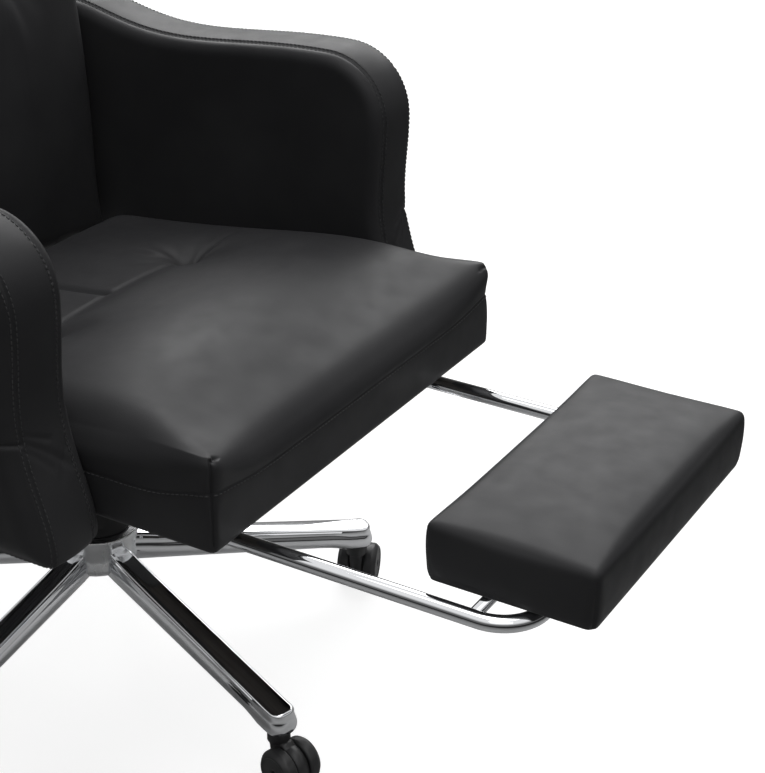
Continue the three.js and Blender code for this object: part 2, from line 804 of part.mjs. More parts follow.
function armOutline() {
  const top = armBottom + armHeight;
  const waist = armBottom + armWaistHeight;
  const waistY = armFront + armWaistDraw;
  const foot = armFront - armFlare;
  const middle = between(armFront, armRear, 0.6);
  const rise = top + armRearRise;
  const shape = new THREE.Shape();
  shape.moveTo(armRear - armFootCorner, armBottom);
  shape.lineTo(foot + armFootCorner, armBottom);
  shape.quadraticCurveTo(foot, armBottom, foot, armBottom + armFootCorner);
  shape.bezierCurveTo(
    foot, between(armBottom, waist, 0.35), waistY, between(armBottom, waist, 0.6), waistY, waist);
  shape.bezierCurveTo(waistY, between(waist, top, 0.2), armFront, between(waist, top, 0.3),
    armFront, top - armNose);
  shape.absarc(armFront + armNose, top - armNose, armNose, Math.PI, Math.PI / 2, true);
  shape.bezierCurveTo(between(armFront + armNose, middle, 0.4), top,
    between(armFront + armNose, middle, 0.7), top - armDip, middle, top - armDip);
  shape.bezierCurveTo(between(middle, armRear, 0.4), top - armDip,
    between(middle, armRear, 0.6), rise, armRear - armRearCorner, rise);
  shape.quadraticCurveTo(armRear, rise, armRear, rise - armRearCorner);
  shape.lineTo(armRear, armBottom + armFootCorner);
  shape.quadraticCurveTo(armRear, armBottom, armRear - armFootCorner, armBottom);
  return shape;
}

function buildArm(side, name) {
  const outlinePoints = 54;
  const outline = armOutline().getSpacedPoints(outlinePoints).slice(0, -1).reverse();
  const outer = armInner + armThickness;
  const stations = [
    { x: armInner, inset: armEdgeRoll },
    { x: armInner + armEdgeRoll * 0.3, inset: armEdgeRoll * 0.3 },
    { x: armInner + armEdgeRoll, inset: 0 },
    { x: outer - armEdgeRoll, inset: 0 },
    { x: outer, inset: armSeamDraw },
    { x: outer + armBulge * 0.7, inset: armSeamDraw + armEdgeRoll },
    { x: outer + armBulge, inset: armPanelInset },
  ];
  add(`arm_${name}`, paddedPanel(outline, stations, side), leather);
}

// A strap under the seat board that steps down and carries the arm from below.
function buildArmBracket(side, name) {
  const high = seatBottom - restGap;
  const low = armBottom - restGap;
  const strap = new THREE.Shape();
  strap.moveTo(bracketInner, high);
  strap.lineTo(bracketInner, high - bracketThickness);
  strap.lineTo(bracketStep, high - bracketThickness);
  strap.lineTo(bracketStep, low - bracketThickness);
  strap.lineTo(bracketOuter, low - bracketThickness);
  strap.lineTo(bracketOuter, low);
  strap.lineTo(bracketStep + bracketThickness, low);
  strap.lineTo(bracketStep + bracketThickness, high);
  const geometry = new THREE.ExtrudeGeometry(strap, { depth: bracketLength, bevelEnabled: false })
    .rotateX(Math.PI / 2)
    .translate(0, bracketY + bracketLength, 0);
  add(`arm_bracket_${name}`, shownOutward(solidGeometry(geometry).scale(side, 1, 1)), steel);
}

const solidGeometry = (geometry) => shown(solid(geometry));

// Footrest
const padBottom = tubeHeight + tubeRadius + restGap;
const pivotHeight = tubeHeight - crossBarDrop;

function buildPad() {
  const rowShares = [0, 0.04, 0.08, 0.25, 0.5, 0.75, 0.92, 0.96, 1];
  const padColumnShares = [-1, -0.965, -0.93, -0.75, -0.4, 0, 0.4, 0.75, 0.93, 0.965, 1];
  const rise = (share) => () => padHeight * share;
  add('footrest_pad', cushion({
    columnShares: padColumnShares,
    rowShares,
    start: padFront,
    depth: padDepth,
    halfWidth: () => padWidth / 2,
    corner: () => padCorner,
    draw: seatSideDraw / 2,
    pocketMargin: padBoardMargin,
    pocketDepth: padBoard + restGap,
    rings: [
      { inset: seatBottomRoll, height: () => 0 },
      { inset: 0, height: rise(0.3) },
      { inset: 0, height: rise(0.65) },
      { inset: padRoll * 0.3, height: rise(0.88) },
      { inset: padRoll, height: rise(1) },
    ],
    rowBend: noBend,
    top: (x, y, u, v) => padHeight + padCrown * dome(u, v),
    map: (x, y, z) => new THREE.Vector3(x, y, padBottom + z),
  }), leather);
  const inset = padBoardMargin + restGap;
  const half = padWidth / 2 - inset;
  add('footrest_board', box(-half, half, padFront + inset, padFront + padDepth - inset,
    padBottom, padBottom + padBoard), plywood);
}

function buildFootrestFrame() {
  const half = tubeSpacing / 2;
  const bendStart = tubeFront + tubeBend;
  const bendX = half - tubeBend;
  const path = new THREE.CurvePath();
  const at = (x, y) => new THREE.Vector3(x, y, tubeHeight);
  const arc = (side, reverse) => {
    const bend = new THREE.EllipseCurve(side * bendX, bendStart, tubeBend, tubeBend,
      side > 0 ? 0 : -Math.PI / 2, side > 0 ? -Math.PI / 2 : -Math.PI, reverse);
    return new THREE.CatmullRomCurve3(bend.getPoints(8).map((p) => at(p.x, p.y)));
  };
  path.add(new THREE.LineCurve3(at(half, tubeRear), at(half, bendStart)));
  path.add(arc(1, true));
  path.add(new THREE.LineCurve3(at(bendX, tubeFront), at(-bendX, tubeFront)));
  path.add(arc(-1, true));
  path.add(new THREE.LineCurve3(at(-half, bendStart), at(-half, tubeRear)));
  const section = new THREE.Shape();
  section.absarc(0, 0, tubeRadius, 0, 2 * Math.PI, false);
  const tube = new THREE.ExtrudeGeometry(section,
    { steps: 64, curveSegments: 4, extrudePath: path, bevelEnabled: false });
  add('footrest_frame', solidGeometry(tube), chrome);
  const barHalf = half - tubeRadius - restGap;
  add('footrest_cross_bar',
    barX(crossBarRadius, -barHalf, barHalf, crossBarY, pivotHeight), chrome);
}

function buildFootrestFittings(side, name) {
  const x = side * tubeSpacing / 2;
  const plugStart = tubeRear + restGap;
  add(`footrest_plug_${name}`,
    barY(tubeRadius, x, plugStart, plugStart + plugLength, tubeHeight), plastic);
  const railTop = seatBottom - restGap;
  const railBottom = tubeHeight - tubeRadius - runGap - railFloor;
  const railRear = railFront + railLength;
  const rail = carved(
    [box(x - railWidth / 2, x + railWidth / 2, railFront, railRear, railBottom, railTop)],
    [barY(tubeRadius + runGap, x, railFront - cutOver, railRear + cutOver, tubeHeight)]);
  add(`footrest_rail_${name}`, rail, steel);
  const clipX = side * clipSpacing / 2;
  const clip = carved(
    [box(clipX - clipWidth / 2, clipX + clipWidth / 2,
      crossBarY - clipDepth / 2, crossBarY + clipDepth / 2,
      pivotHeight - crossBarRadius - clipWall, padBottom - restGap)],
    [barX(crossBarRadius + runGap, clipX - clipWidth, clipX + clipWidth,
      crossBarY, pivotHeight)]);
  add(`footrest_clip_${name}`, clip, steel);
}

// Mechanism, column and levers
function leverLugs(side) {
  const half = leverEyeWidth / 2 + runGap;
  const inner = mechBoxWidth / 2 - cutOver;
  const outer = leverPivotX + leverEye / 2;
  const lug = (y) => box(Math.min(side * inner, side * outer), Math.max(side * inner, side * outer),
    y, y + lugThickness, leverPivotHeight - leverEye / 2, leverPivotHeight + leverEye / 2);
  return [
    lug(leverY - half - lugThickness),
    lug(leverY + half),
    barY(leverPinRadius, side * leverPivotX, leverY - half - lugThickness / 2,
      leverY + half + lugThickness / 2, leverPivotHeight, smallSides / 2),
  ];
}

function buildMechanism() {
  const pieces = [
    box(-mechWidth / 2, mechWidth / 2, -mechDepth / 2, mechDepth / 2, mechUnder, mechTop),
    box(-mechBoxWidth / 2, mechBoxWidth / 2, -mechBoxDepth / 2, mechBoxDepth / 2,
      mechBoxBottom, mechUnder + mechPlate / 2),
    barZ(socketRadius, 0, 0, socketBottom, mechBoxBottom + mechPlate, roundSides),
    ...leverLugs(sign.left),
    ...leverLugs(sign.right),
  ];
  const bore = barZ(pistonRadius + restGap, 0, 0, socketBottom - cutOver, pistonTop + restGap,
    roundSides);
  add('seat_mechanism', carved(pieces, [bore]), steel);
}

function buildColumn() {
  add('lift_piston',
    barZ(pistonRadius, 0, 0, pistonBottom, pistonTop, roundSides), chrome);
  const bore = pistonRadius + runGap;
  add('lift_cylinder', turned([
    [bore, cylinderBottom], [cylinderRadius, cylinderBottom], [cylinderRadius, cylinderTop],
    [bore, cylinderTop], [bore, cylinderBottom],
  ]), steel);
  const lowIn = cylinderRadius + restGap;
  const lowOut = lowIn + coverWall;
  const hubTop = hubBottom + hubHeight + restGap;
  add('cover_lower', turned([
    [lowIn, hubTop], [lowOut + coverFlare, hubTop], [lowOut + coverFlare * 0.4, hubTop + coverFlare],
    [lowOut, hubTop + coverFlare * 3], [lowOut, lowerCoverTop], [lowIn, lowerCoverTop],
    [lowIn, hubTop],
  ]), plastic);
  const highIn = lowOut + runGap;
  const highOut = highIn + coverWall;
  const collar = pistonRadius + restGap;
  const lid = upperCoverTop - coverWall;
  add('cover_upper', turned([
    [highIn, upperCoverBottom], [highOut, upperCoverBottom], [highOut, upperCoverTop],
    [collar, upperCoverTop], [collar, lid], [highIn, lid], [highIn, upperCoverBottom],
  ]), plastic);
}

function buildLever(side, name) {
  const start = leverPivotX;
  const slope = Math.atan2(leverDrop, leverReach);
  const length = Math.hypot(leverDrop, leverReach);
  const alongLever = (geometry) => geometry
    .rotateZ(Math.PI / 2)
    .translate(length / 2, 0, 0)
    .rotateY(slope)
    .translate(start, leverY, leverPivotHeight);
  const shaft = alongLever(rod(leverRod, length));
  const eye = barY(leverEye, start, leverY - leverEyeWidth / 2, leverY + leverEyeWidth / 2,
    leverPivotHeight);
  const hole = barY(leverPinRadius + runGap, start, leverY - leverEyeWidth,
    leverY + leverEyeWidth, leverPivotHeight, smallSides / 2);
  const outline = new THREE.Shape();
  const halfWidth = gripWidth / 2 - gripBevel;
  const halfLength = gripLength / 2 - gripBevel;
  outline.moveTo(-halfLength, -halfWidth * 0.7);
  outline.lineTo(halfLength - halfWidth, -halfWidth);
  outline.absarc(halfLength - halfWidth, 0, halfWidth, -Math.PI / 2, Math.PI / 2, false);
  outline.lineTo(-halfLength, halfWidth * 0.7);
  const bevel = { bevelSegments: 1, bevelSize: gripBevel, bevelThickness: gripBevel };
  const slab = new THREE.ExtrudeGeometry(outline,
    { depth: gripThickness - 2 * gripBevel, curveSegments: 8, ...bevel });
  const gripMiddle = length - gripHold + gripLength / 2;
  const paddle = slab
    .translate(gripMiddle, 0, -gripThickness / 2 + gripBevel)
    .rotateY(slope)
    .translate(start, leverY, leverPivotHeight);
  const socket = alongLever(rod(leverRod + restGap, length + restGap));
  const turn = (geometry) => shownOutward(geometry.scale(side, 1, 1));
  add(`${name}_lever`, turn(carved([shaft, eye], [hole])), steel);
  add(`${name}_lever_grip`, turn(carved([paddle], [socket])), plastic);
}

// Star base
// The leg's section is a channel, round at its upper edges and open below.
function legSection(width, height, edge) {
  const [w, h, soft] = [width / 2, height / 2, edge * 0.3];
  return [
    [-w, -h], [-w, h - edge], [-w + soft, h - soft], [-w + edge, h],
    [w - edge, h], [w - soft, h - soft], [w, h - edge], [w, -h],
  ];
}

function legLoft(from, to, narrower, lower) {
  const steps = 3;
  const tipMiddle = noseBottom + noseHeight - legHeightTip / 2;
  const rings = Array.from({ length: steps + 1 }, (_, k) => {
    const along = between(from, to, k / steps);
    const share = along / legRadius;
    const width = between(legWidthHub, legWidthTip, share) - 2 * narrower;
    const height = between(legHeightHub, legHeightTip, share) + 2 * lower;
    const middle = between(legMiddleHub, tipMiddle, share) - narrower - lower;
    return legSection(width, height, legEdge).map(([across, up]) =>
      new THREE.Vector3(along, across, middle + up));
  });
  return capped(loft(rings));
}

function noseGeometry() {
  const top = noseBottom + noseHeight;
  const soft = noseFillet * 0.3;
  return turned([
    [0, noseBottom], [noseRadius, noseBottom], [noseRadius, top - noseFillet],
    [noseRadius - soft, top - soft], [noseRadius - noseFillet, top], [0, top],
  ]).translate(legRadius, 0, 0);
}

const legAngle = (k) => radians(firstLegDegrees + k * 360 / legCount);

function buildStar() {
  const hubTop = hubBottom + hubHeight;
  const bore = cylinderRadius + restGap;
  const hub = turned([
    [bore, hubBottom], [hubRadius, hubBottom], [hubRadius, hubBottom + hubHeight * 0.15],
    [hubRadius - hubWaist, hubBottom + hubHeight * 0.4],
    [hubRadius, hubBottom + hubHeight * 0.75], [hubRadius + hubFlare, hubTop - legWall],
    [hubRadius + hubFlare, hubTop], [bore, hubTop], [bore, hubBottom],
  ]);
  const pieces = [hub];
  const cuts = [barZ(bore, 0, 0, hubBottom - cutOver, hubTop + cutOver, roundSides)];
  for (let k = 0; k < legCount; k += 1) {
    const turn = (geometry) => geometry.rotateZ(legAngle(k));
    const hollowEnd = legRadius - noseRadius;
    pieces.push(turn(legLoft(cylinderRadius, legRadius, 0, 0)), turn(noseGeometry()));
    cuts.push(turn(legLoft(hubRadius + hubFlare, hollowEnd, legWall, cutOver)));
    cuts.push(turn(barZ(stemRadius + restGap, legRadius, 0, noseBottom - cutOver,
      noseBottom + stemInNose, smallSides)));
  }
  add('base_star', carved(pieces, cuts), chrome);
}

// Casters. They are made with the stem on the Z axis and the wheels towards +X.
const axleHeight = wheelRadius * Math.cos(Math.PI / wheelSides);

// The hood is a web between the wheels with a tower round the stem.
function hoodGeometry() {
  const top = noseBottom - restGap;
  const towerFoot = top - towerHeight;
  const webFront = -casterTrail - towerRadius * 0.75;
  const webTop = towerFoot + cutOver - axleHeight;
  const web = new THREE.Shape();
  web.absarc(0, 0, webRadius, Math.PI, Math.PI / 2, false);
  web.lineTo(-casterTrail + towerRadius * 0.75, webTop);
  web.lineTo(webFront, webTop);
  web.lineTo(webFront, 0);
  const plate = new THREE.ExtrudeGeometry(web,
    { depth: webWidth, bevelEnabled: false, curveSegments: 16 })
    .translate(0, 0, -webWidth / 2)
    .rotateX(Math.PI / 2)
    .translate(casterTrail, 0, axleHeight);
  const cuts = [
    barZ(stemRadius + restGap, 0, 0, noseBottom + stemInNose - stemLength, top + cutOver),
    barY(axleRadius + restGap, casterTrail, -webWidth, webWidth, axleHeight),
  ];
  return carved([plate, barZ(towerRadius, 0, 0, towerFoot, top, roundSides)], cuts);
}

function wheelGeometry(side) {
  const bore = axleRadius + runGap;
  const dish = wheelWidth - wheelDish;
  const profile = [
    [bore, 0], [wheelRadius - treadEdge, 0], [wheelRadius, treadEdge],
    [wheelRadius, wheelWidth - treadEdge], [wheelRadius - treadEdge, wheelWidth],
    [wheelRadius - wheelRim, dish], [bore, dish], [bore, 0],
  ];
  const facetTurn = Math.PI / wheelSides;
  return turned(profile, wheelSides)
    .rotateZ(facetTurn)
    .rotateX(-side * Math.PI / 2)
    .translate(casterTrail, side * (webWidth / 2 + runGap), axleHeight);
}

function buildCaster(k) {
  const swivel = radians(casterDegrees[k]);
  const angle = legAngle(k);
  const seatCaster = (geometry) => geometry
    .rotateZ(swivel)
    .translate(legRadius * Math.cos(angle), legRadius * Math.sin(angle), 0);
  const stemTop = noseBottom + stemInNose - restGap;
  const stemBottom = noseBottom + stemInNose - stemLength + restGap;
  const halfAxle = webWidth / 2 + wheelWidth - wheelDish;
  const number = k + 1;
  add(`caster_stem_${number}`, seatCaster(barZ(stemRadius, 0, 0, stemBottom, stemTop)), steel);
  add(`caster_hood_${number}`, seatCaster(hoodGeometry()), plastic);
  add(`caster_axle_${number}`,
    seatCaster(barY(axleRadius, casterTrail, -halfAxle, halfAxle, axleHeight)), steel);
  add(`caster_wheel_${number}a`, seatCaster(wheelGeometry(1)), nylon);
  add(`caster_wheel_${number}b`, seatCaster(wheelGeometry(-1)), nylon);
}

buildStar();
for (let k = 0; k < legCount; k += 1) buildCaster(k);
buildColumn();
buildMechanism();
buildSeat();
buildBackCushion();
buildHeadCushion();
buildBackBoard();
buildBackShell();
for (const [name, side] of Object.entries(sign)) {
  buildArm(side, name);
  buildArmBracket(side, name);
  buildHinges(side, name);
  buildFootrestFittings(side, name);
}
buildPad();
buildFootrestFrame();
buildLever(sign.right, 'height');
buildLever(sign.left, 'recline');

// The origin: on the floor, under the middle of the whole chair.
const extent = new THREE.Box3().setFromObject(model);
const middle = extent.getCenter(new THREE.Vector3());
model.position.set(-middle.x, -middle.y, -extent.min.z);
const whole = new THREE.Group();
whole.add(model);

export default whole;
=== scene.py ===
import math

import bpy
import numpy as np
from mathutils import Matrix, Vector
from mathutils.bvhtree import BVHTree


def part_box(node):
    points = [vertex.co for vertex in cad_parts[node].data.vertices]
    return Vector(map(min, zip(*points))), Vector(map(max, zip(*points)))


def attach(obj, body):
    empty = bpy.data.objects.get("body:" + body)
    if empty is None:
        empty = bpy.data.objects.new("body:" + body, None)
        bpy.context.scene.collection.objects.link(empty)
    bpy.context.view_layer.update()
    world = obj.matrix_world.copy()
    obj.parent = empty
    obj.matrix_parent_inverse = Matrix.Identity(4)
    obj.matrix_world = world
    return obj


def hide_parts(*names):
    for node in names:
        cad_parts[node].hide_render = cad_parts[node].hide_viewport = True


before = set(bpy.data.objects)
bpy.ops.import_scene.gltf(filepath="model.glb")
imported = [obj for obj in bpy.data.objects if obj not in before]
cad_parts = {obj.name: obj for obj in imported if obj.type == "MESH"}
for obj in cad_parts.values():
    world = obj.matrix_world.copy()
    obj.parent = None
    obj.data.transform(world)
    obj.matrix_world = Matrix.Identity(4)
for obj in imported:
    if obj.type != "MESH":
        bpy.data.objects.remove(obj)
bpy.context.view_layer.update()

# Driving dimensions, in metres, as in the solids. Heights are above the floor.
column_low, column_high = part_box("lift_piston")
COLUMN_Y = (column_low.y + column_high.y) / 2
SEAT_WIDTH, SEAT_DEPTH, SEAT_AHEAD = 0.520, 0.506, 0.348
SEAT_FRONT = COLUMN_Y - SEAT_AHEAD
SEAT_REAR = SEAT_FRONT + SEAT_DEPTH
SEAT_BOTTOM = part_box("seat_cushion")[0].z
SEAT_FRONT_HEIGHT, SEAT_REAR_HEIGHT, SEAT_SEAM = 0.101, 0.062, 0.052
TUFT_X = 0.118
SEAT_TUFT, BACK_TUFT = 0.297, 0.336
# How far the channel arches, how far from it the mesh bends with it, and the fine rows beside it
CHANNEL_ARCH, BEND_REACH, ROW_BEFORE, ROW_AFTER = 0.015, 0.07, 0.006, 0.004
BACK_WIDTH, HEAD_WIDTH = 0.500, 0.470
BACK_ABOVE_SEAT, BACK_BEHIND_SEAT = 0.023, 0.007
BACK_BOTTOM = SEAT_BOTTOM + BACK_ABOVE_SEAT
BACK_LENGTH, HEAD_LENGTH = 0.504, 0.252
BACK_EDGE, HEAD_EDGE = 0.062, 0.068
BACK_PLANE = SEAT_REAR + BACK_BEHIND_SEAT + BACK_EDGE
CUSHION_SPLIT = 0.003
LEAN_ABOVE, LEAN_RUN, LEAN_SHARE = 0.108, 0.250, 0.19
LEAN_START = BACK_BOTTOM + LEAN_ABOVE
SHELL_DEPTH, SHELL_GAP = 0.058, 0.0008
ARM_THICKNESS, ARM_NOSE, ARM_FLARE = 0.073, 0.073, 0.025
ARM_DIP, ARM_REAR_RISE, ARM_WAIST = 0.014, 0.009, 0.148
SIDES = {"left": 1, "right": -1}


# Numbers
TINY = 1e-9
LINE_SAMPLES, STEP_GROWTH = 4001, 0.16


def between(low, high, share):
    return low + (high - low) * share


def smooth(share):
    t = np.clip(share, 0, 1)
    return t * t * (3 - 2 * t)


def fade(distance, reach):
    return np.exp(-((distance / reach) ** 2))


def unit(vectors):
    """Each vector at length 1, or 0 where it has no length."""
    return vectors / np.maximum(np.linalg.norm(vectors, axis=-1, keepdims=True), TINY)


def dome(u, v):
    """1 in the middle of a panel, 0 at its edges; u runs from -1 to 1 and v from 0 to 1."""
    return (1 - np.clip(np.abs(u), 0, 1) ** 4) * (1 - np.clip(np.abs(2 * v - 1), 0, 1) ** 4)


def lines(length, marks, coarse, fine):
    """Places from 0 to length: fine apart at the marks, and coarse apart away from them."""
    x = np.linspace(0, length, LINE_SAMPLES)
    away = np.min(np.abs(x[:, None] - np.array(marks)), axis=1)
    step = np.minimum(coarse, fine + STEP_GROWTH * away)
    pace = (1 / step[1:] + 1 / step[:-1]) / 2 * np.diff(x)
    travelled = np.concatenate([[0], np.cumsum(pace)])
    count = math.ceil(travelled[-1])
    places = np.interp(np.linspace(0, travelled[-1], count + 1), travelled, x)
    for mark in marks:
        places[np.argmin(np.abs(places - mark))] = mark
    return places


# Materials
NOISE_LOW, NOISE_HIGH = 0.3, 0.7
# Where a finish's two colours stand on their ramp
COLOUR_PLACES = (0.35, 0.65)


def feed(tree, socket, value):
    """Links a socket to the value where that is a socket too, and sets it otherwise."""
    if isinstance(value, bpy.types.NodeSocket):
        tree.links.new(value, socket)
    else:
        socket.default_value = value


def node_with(tree, kind, values):
    made = tree.nodes.new(kind)
    for socket, value in values.items():
        feed(tree, made.inputs[socket], value)
    return made


def ranged(tree, value, start, end, first, last):
    """The value, moved from the range between start and end to that between first and last."""
    return node_with(tree, "ShaderNodeMapRange", {
        "Value": value, "From Min": start, "From Max": end, "To Min": first, "To Max": last,
    }).outputs["Result"]


class Finish:
    """A node material that grows from its Principled shader."""

    def __init__(self, name, **values):
        self.material = bpy.data.materials.new(name)
        self.material.use_nodes = True
        self.tree = self.material.node_tree
        self.shader = self.tree.nodes["Principled BSDF"]
        self.place = self.node("ShaderNodeTexCoord", {}).outputs["Object"]
        for socket, value in values.items():
            self.shader.inputs[socket.replace("_", " ")].default_value = value

    def node(self, kind, values):
        return node_with(self.tree, kind, values)

    def noise(self, scale, detail=3.0, place=None):
        values = {"Vector": place or self.place, "Scale": scale, "Detail": detail}
        return self.node("ShaderNodeTexNoise", values).outputs["Fac"]

    def stretched_noise(self, scale, stretch):
        mapped = self.node("ShaderNodeMapping", {"Vector": self.place, "Scale": stretch})
        return self.noise(scale, 2.0, mapped.outputs["Vector"])

    def cells(self, scale):
        values = {"Vector": self.place, "Scale": scale}
        return self.node("ShaderNodeTexVoronoi", values).outputs["Distance"]

    def colours(self, value, first, second):
        ramp = self.node("ShaderNodeValToRGB", {"Fac": value})
        for element, colour, place in zip(ramp.color_ramp.elements, (first, second), COLOUR_PLACES):
            element.color = (*colour, 1)
            element.position = place
        self.tree.links.new(ramp.outputs["Color"], self.shader.inputs["Base Color"])

    def rough(self, value, low, high):
        spread = ranged(self.tree, value, NOISE_LOW, NOISE_HIGH, low, high)
        self.tree.links.new(spread, self.shader.inputs["Roughness"])

    def bumps(self, *layers):
        """Each layer is a height, its strength and its size in metres."""
        normal = None
        for height, strength, distance in layers:
            values = {"Height": height, "Strength": strength, "Distance": distance}
            if normal:
                values["Normal"] = normal
            normal = self.node("ShaderNodeBump", values).outputs["Normal"]
        self.tree.links.new(normal, self.shader.inputs["Normal"])
        return self.material


def leather_finish(name, dark, light, roughness):
    made = Finish(name, Specular_IOR_Level=0.16)
    made.colours(made.noise(7.0), dark, light)
    made.rough(made.noise(38.0), roughness - 0.04, roughness + 0.05)
    return made.bumps(
        (made.noise(16.0, 2.0), 0.09, 0.004),
        (made.stretched_noise(60.0, (1.0, 0.35, 1.0)), 0.10, 0.0012),
        (made.cells(1150.0), 0.16, 0.00022),
        (made.noise(3200.0, 2.0), 0.12, 0.00010))


def chrome_finish(name, colour, low, high):
    made = Finish(name, Metallic=1.0)
    made.colours(made.noise(9.0), colour, tuple(0.96 * c for c in colour))
    made.rough(made.noise(24.0), low, high)
    return made.bumps((made.noise(30.0, 1.0), 0.05, 0.0006))


def grained_finish(name, first, second, roughness, scale, depth):
    made = Finish(name)
    made.colours(made.noise(12.0), first, second)
    made.rough(made.noise(60.0), roughness - 0.05, roughness + 0.06)
    return made.bumps(
        (made.noise(22.0, 1.0), 0.06, 0.001),
        (made.noise(scale, 2.0), 0.30, depth))


def plywood_finish():
    made = Finish("stained_plywood", Specular_IOR_Level=0.3)
    grain = made.stretched_noise(9.0, (14.0, 1.2, 14.0))
    made.colours(grain, (0.050, 0.044, 0.040), (0.072, 0.064, 0.058))
    made.rough(made.noise(40.0), 0.62, 0.78)
    return made.bumps((grain, 0.2, 0.0004), (made.noise(900.0), 0.15, 0.0001))


def thread_finish():
    made = Finish("thread", Specular_IOR_Level=0.3)
    made.colours(made.noise(30.0), (0.047, 0.047, 0.049), (0.066, 0.066, 0.068))
    made.rough(made.noise(50.0), 0.55, 0.70)
    return made.bumps((made.stretched_noise(1800.0, (1.0, 1.0, 0.4)), 0.4, 0.0002))


leather = leather_finish("leather", (0.033, 0.033, 0.035), (0.044, 0.044, 0.046), 0.47)
chrome = chrome_finish("chrome", (0.86, 0.87, 0.89), 0.03, 0.07)
satin = chrome_finish("satin_chrome", (0.93, 0.94, 0.95), 0.24, 0.32)
steel = grained_finish("black_steel", (0.016, 0.016, 0.018), (0.024, 0.024, 0.026),
                       0.46, 700.0, 0.0003)
plastic = grained_finish("black_plastic", (0.012, 0.012, 0.013), (0.020, 0.020, 0.022),
                         0.48, 2200.0, 0.0001)
nylon = grained_finish("black_nylon", (0.026, 0.026, 0.027), (0.036, 0.036, 0.038),
                       0.42, 1500.0, 0.00008)
plywood = plywood_finish()
thread = thread_finish()


# Meshes
CORNER_STEPS, CUT_SHARE = 3, 0.45


def piece(name, points, faces, finish, slot, body, *replaced):
    """A shown mesh that rides on a body and may stand for CAD nodes."""
    mesh = bpy.data.meshes.new(name)
    mesh.from_pydata(np.asarray(points).tolist(), [], [tuple(int(i) for i in f) for f in faces])
    mesh.validate()
    mesh.shade_smooth()
    mesh.materials.append(finish)
    made = bpy.data.objects.new(name, mesh)
    bpy.context.scene.collection.objects.link(made)
    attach(made, body)
    if replaced:
        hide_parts(*replaced)
    return made


def vectors_of(items, attribute):
    found = np.empty(len(items) * 3)
    items.foreach_get(attribute, found)
    return found.reshape(-1, 3)


def coordinates(mesh):
    return vectors_of(mesh.vertices, "co")


def normals(mesh):
    return vectors_of(mesh.vertex_normals, "vector")


def place_vertices(made, points):
    made.data.vertices.foreach_set("co", points.ravel())
    made.data.update()


def subdivide(made):
    """Gives a piece the mesh that one level of subdivision makes of its own."""
    modifier = made.modifiers.new("subsurf", "SUBSURF")
    modifier.levels = modifier.render_levels = 1
    old = made.data
    evaluated = made.evaluated_get(bpy.context.evaluated_depsgraph_get())
    made.data = bpy.data.meshes.new_from_object(evaluated)
    made.modifiers.remove(modifier)
    bpy.data.meshes.remove(old)
    made.data.shade_smooth()


def shell(counts):
    """The lattice places on the surface of a box of counts cells, and its quads."""
    index, places, quads = {}, [], []

    def corner(place):
        if place not in index:
            index[place] = len(places)
            places.append(place)
        return index[place]

    for axis in range(3):
        first, second = (axis + 1) % 3, (axis + 2) % 3
        for side in (0, counts[axis]):
            for i in range(counts[first]):
                for j in range(counts[second]):
                    loop = []
                    for di, dj in ((0, 0), (1, 0), (1, 1), (0, 1)):
                        place = [0, 0, 0]
                        place[axis] = side
                        place[first] = i + di
                        place[second] = j + dj
                        loop.append(corner(tuple(place)))
                    quads.append(loop if side else loop[::-1])
    return np.array(places), quads


def ring_faces(rings, count):
    """Faces between rings of points that follow one another, with flat ends."""
    faces = []
    for r in range(rings - 1):
        for i in range(count):
            j = (i + 1) % count
            faces.append((r * count + i, r * count + j, (r + 1) * count + j, (r + 1) * count + i))
    faces.append(tuple(range(count))[::-1])
    faces.append(tuple((rings - 1) * count + i for i in range(count)))
    return faces


def joined(parts):
    """One list of points and faces from several."""
    points, faces, first = [], [], 0
    for some, those in parts:
        points.append(np.asarray(some))
        faces += [tuple(i + first for i in face) for face in those]
        first += len(some)
    return np.concatenate(points), faces


def rim(across, along):
    """The lattice places round a rectangle of cells, anticlockwise from its first corner."""
    return ([(i, 0) for i in range(across)] + [(across, j) for j in range(along)]
            + [(across - i, along) for i in range(across)] + [(0, along - j) for j in range(along)])


def lathe(profile, sides):
    """Points and faces of a profile of [radius, height] turned about Z. It closes on itself."""
    count = len(profile)
    points, faces = [], []
    for k in range(sides):
        turn = 2 * math.pi * k / sides
        points += [(r * math.cos(turn), r * math.sin(turn), z) for r, z in profile]
        ahead = (k + 1) % sides
        for i in range(count):
            j = (i + 1) % count
            faces.append((k * count + i, ahead * count + i, ahead * count + j, k * count + j))
    return np.array(points), faces


def softened(profile, radius):
    """A closed profile with each corner rounded by up to the radius."""
    made = []
    corners = [Vector(p) for p in profile]
    for i, corner in enumerate(corners):
        before, after = corners[i - 1] - corner, corners[(i + 1) % len(corners)] - corner
        cut = min(radius, before.length * CUT_SHARE, after.length * CUT_SHARE)
        start, end = corner + before.normalized() * cut, corner + after.normalized() * cut
        for t in np.linspace(0, 1, CORNER_STEPS + 1):
            made.append(tuple(start * (1 - t) ** 2 + corner * 2 * t * (1 - t) + end * t * t))
    return made


def sweep(path, radius, sides, aside=(0.0, 0.0, 1.0)):
    """A tube along a path of points, closed by flat ends. The radius is one, or one for each point."""
    path = np.asarray(path, float)
    along = unit(np.gradient(path, axis=0))
    side = np.cross(along[0], aside)
    turns = np.arange(sides)[:, None] * 2 * math.pi / sides
    rings = []
    for place, forward, wide in zip(path, along, np.broadcast_to(radius, len(path))):
        side = unit(side - forward * (side @ forward))
        other = np.cross(forward, side)
        rings.append(place + wide * (np.cos(turns) * side + np.sin(turns) * other))
    return np.concatenate(rings), ring_faces(len(path), sides)


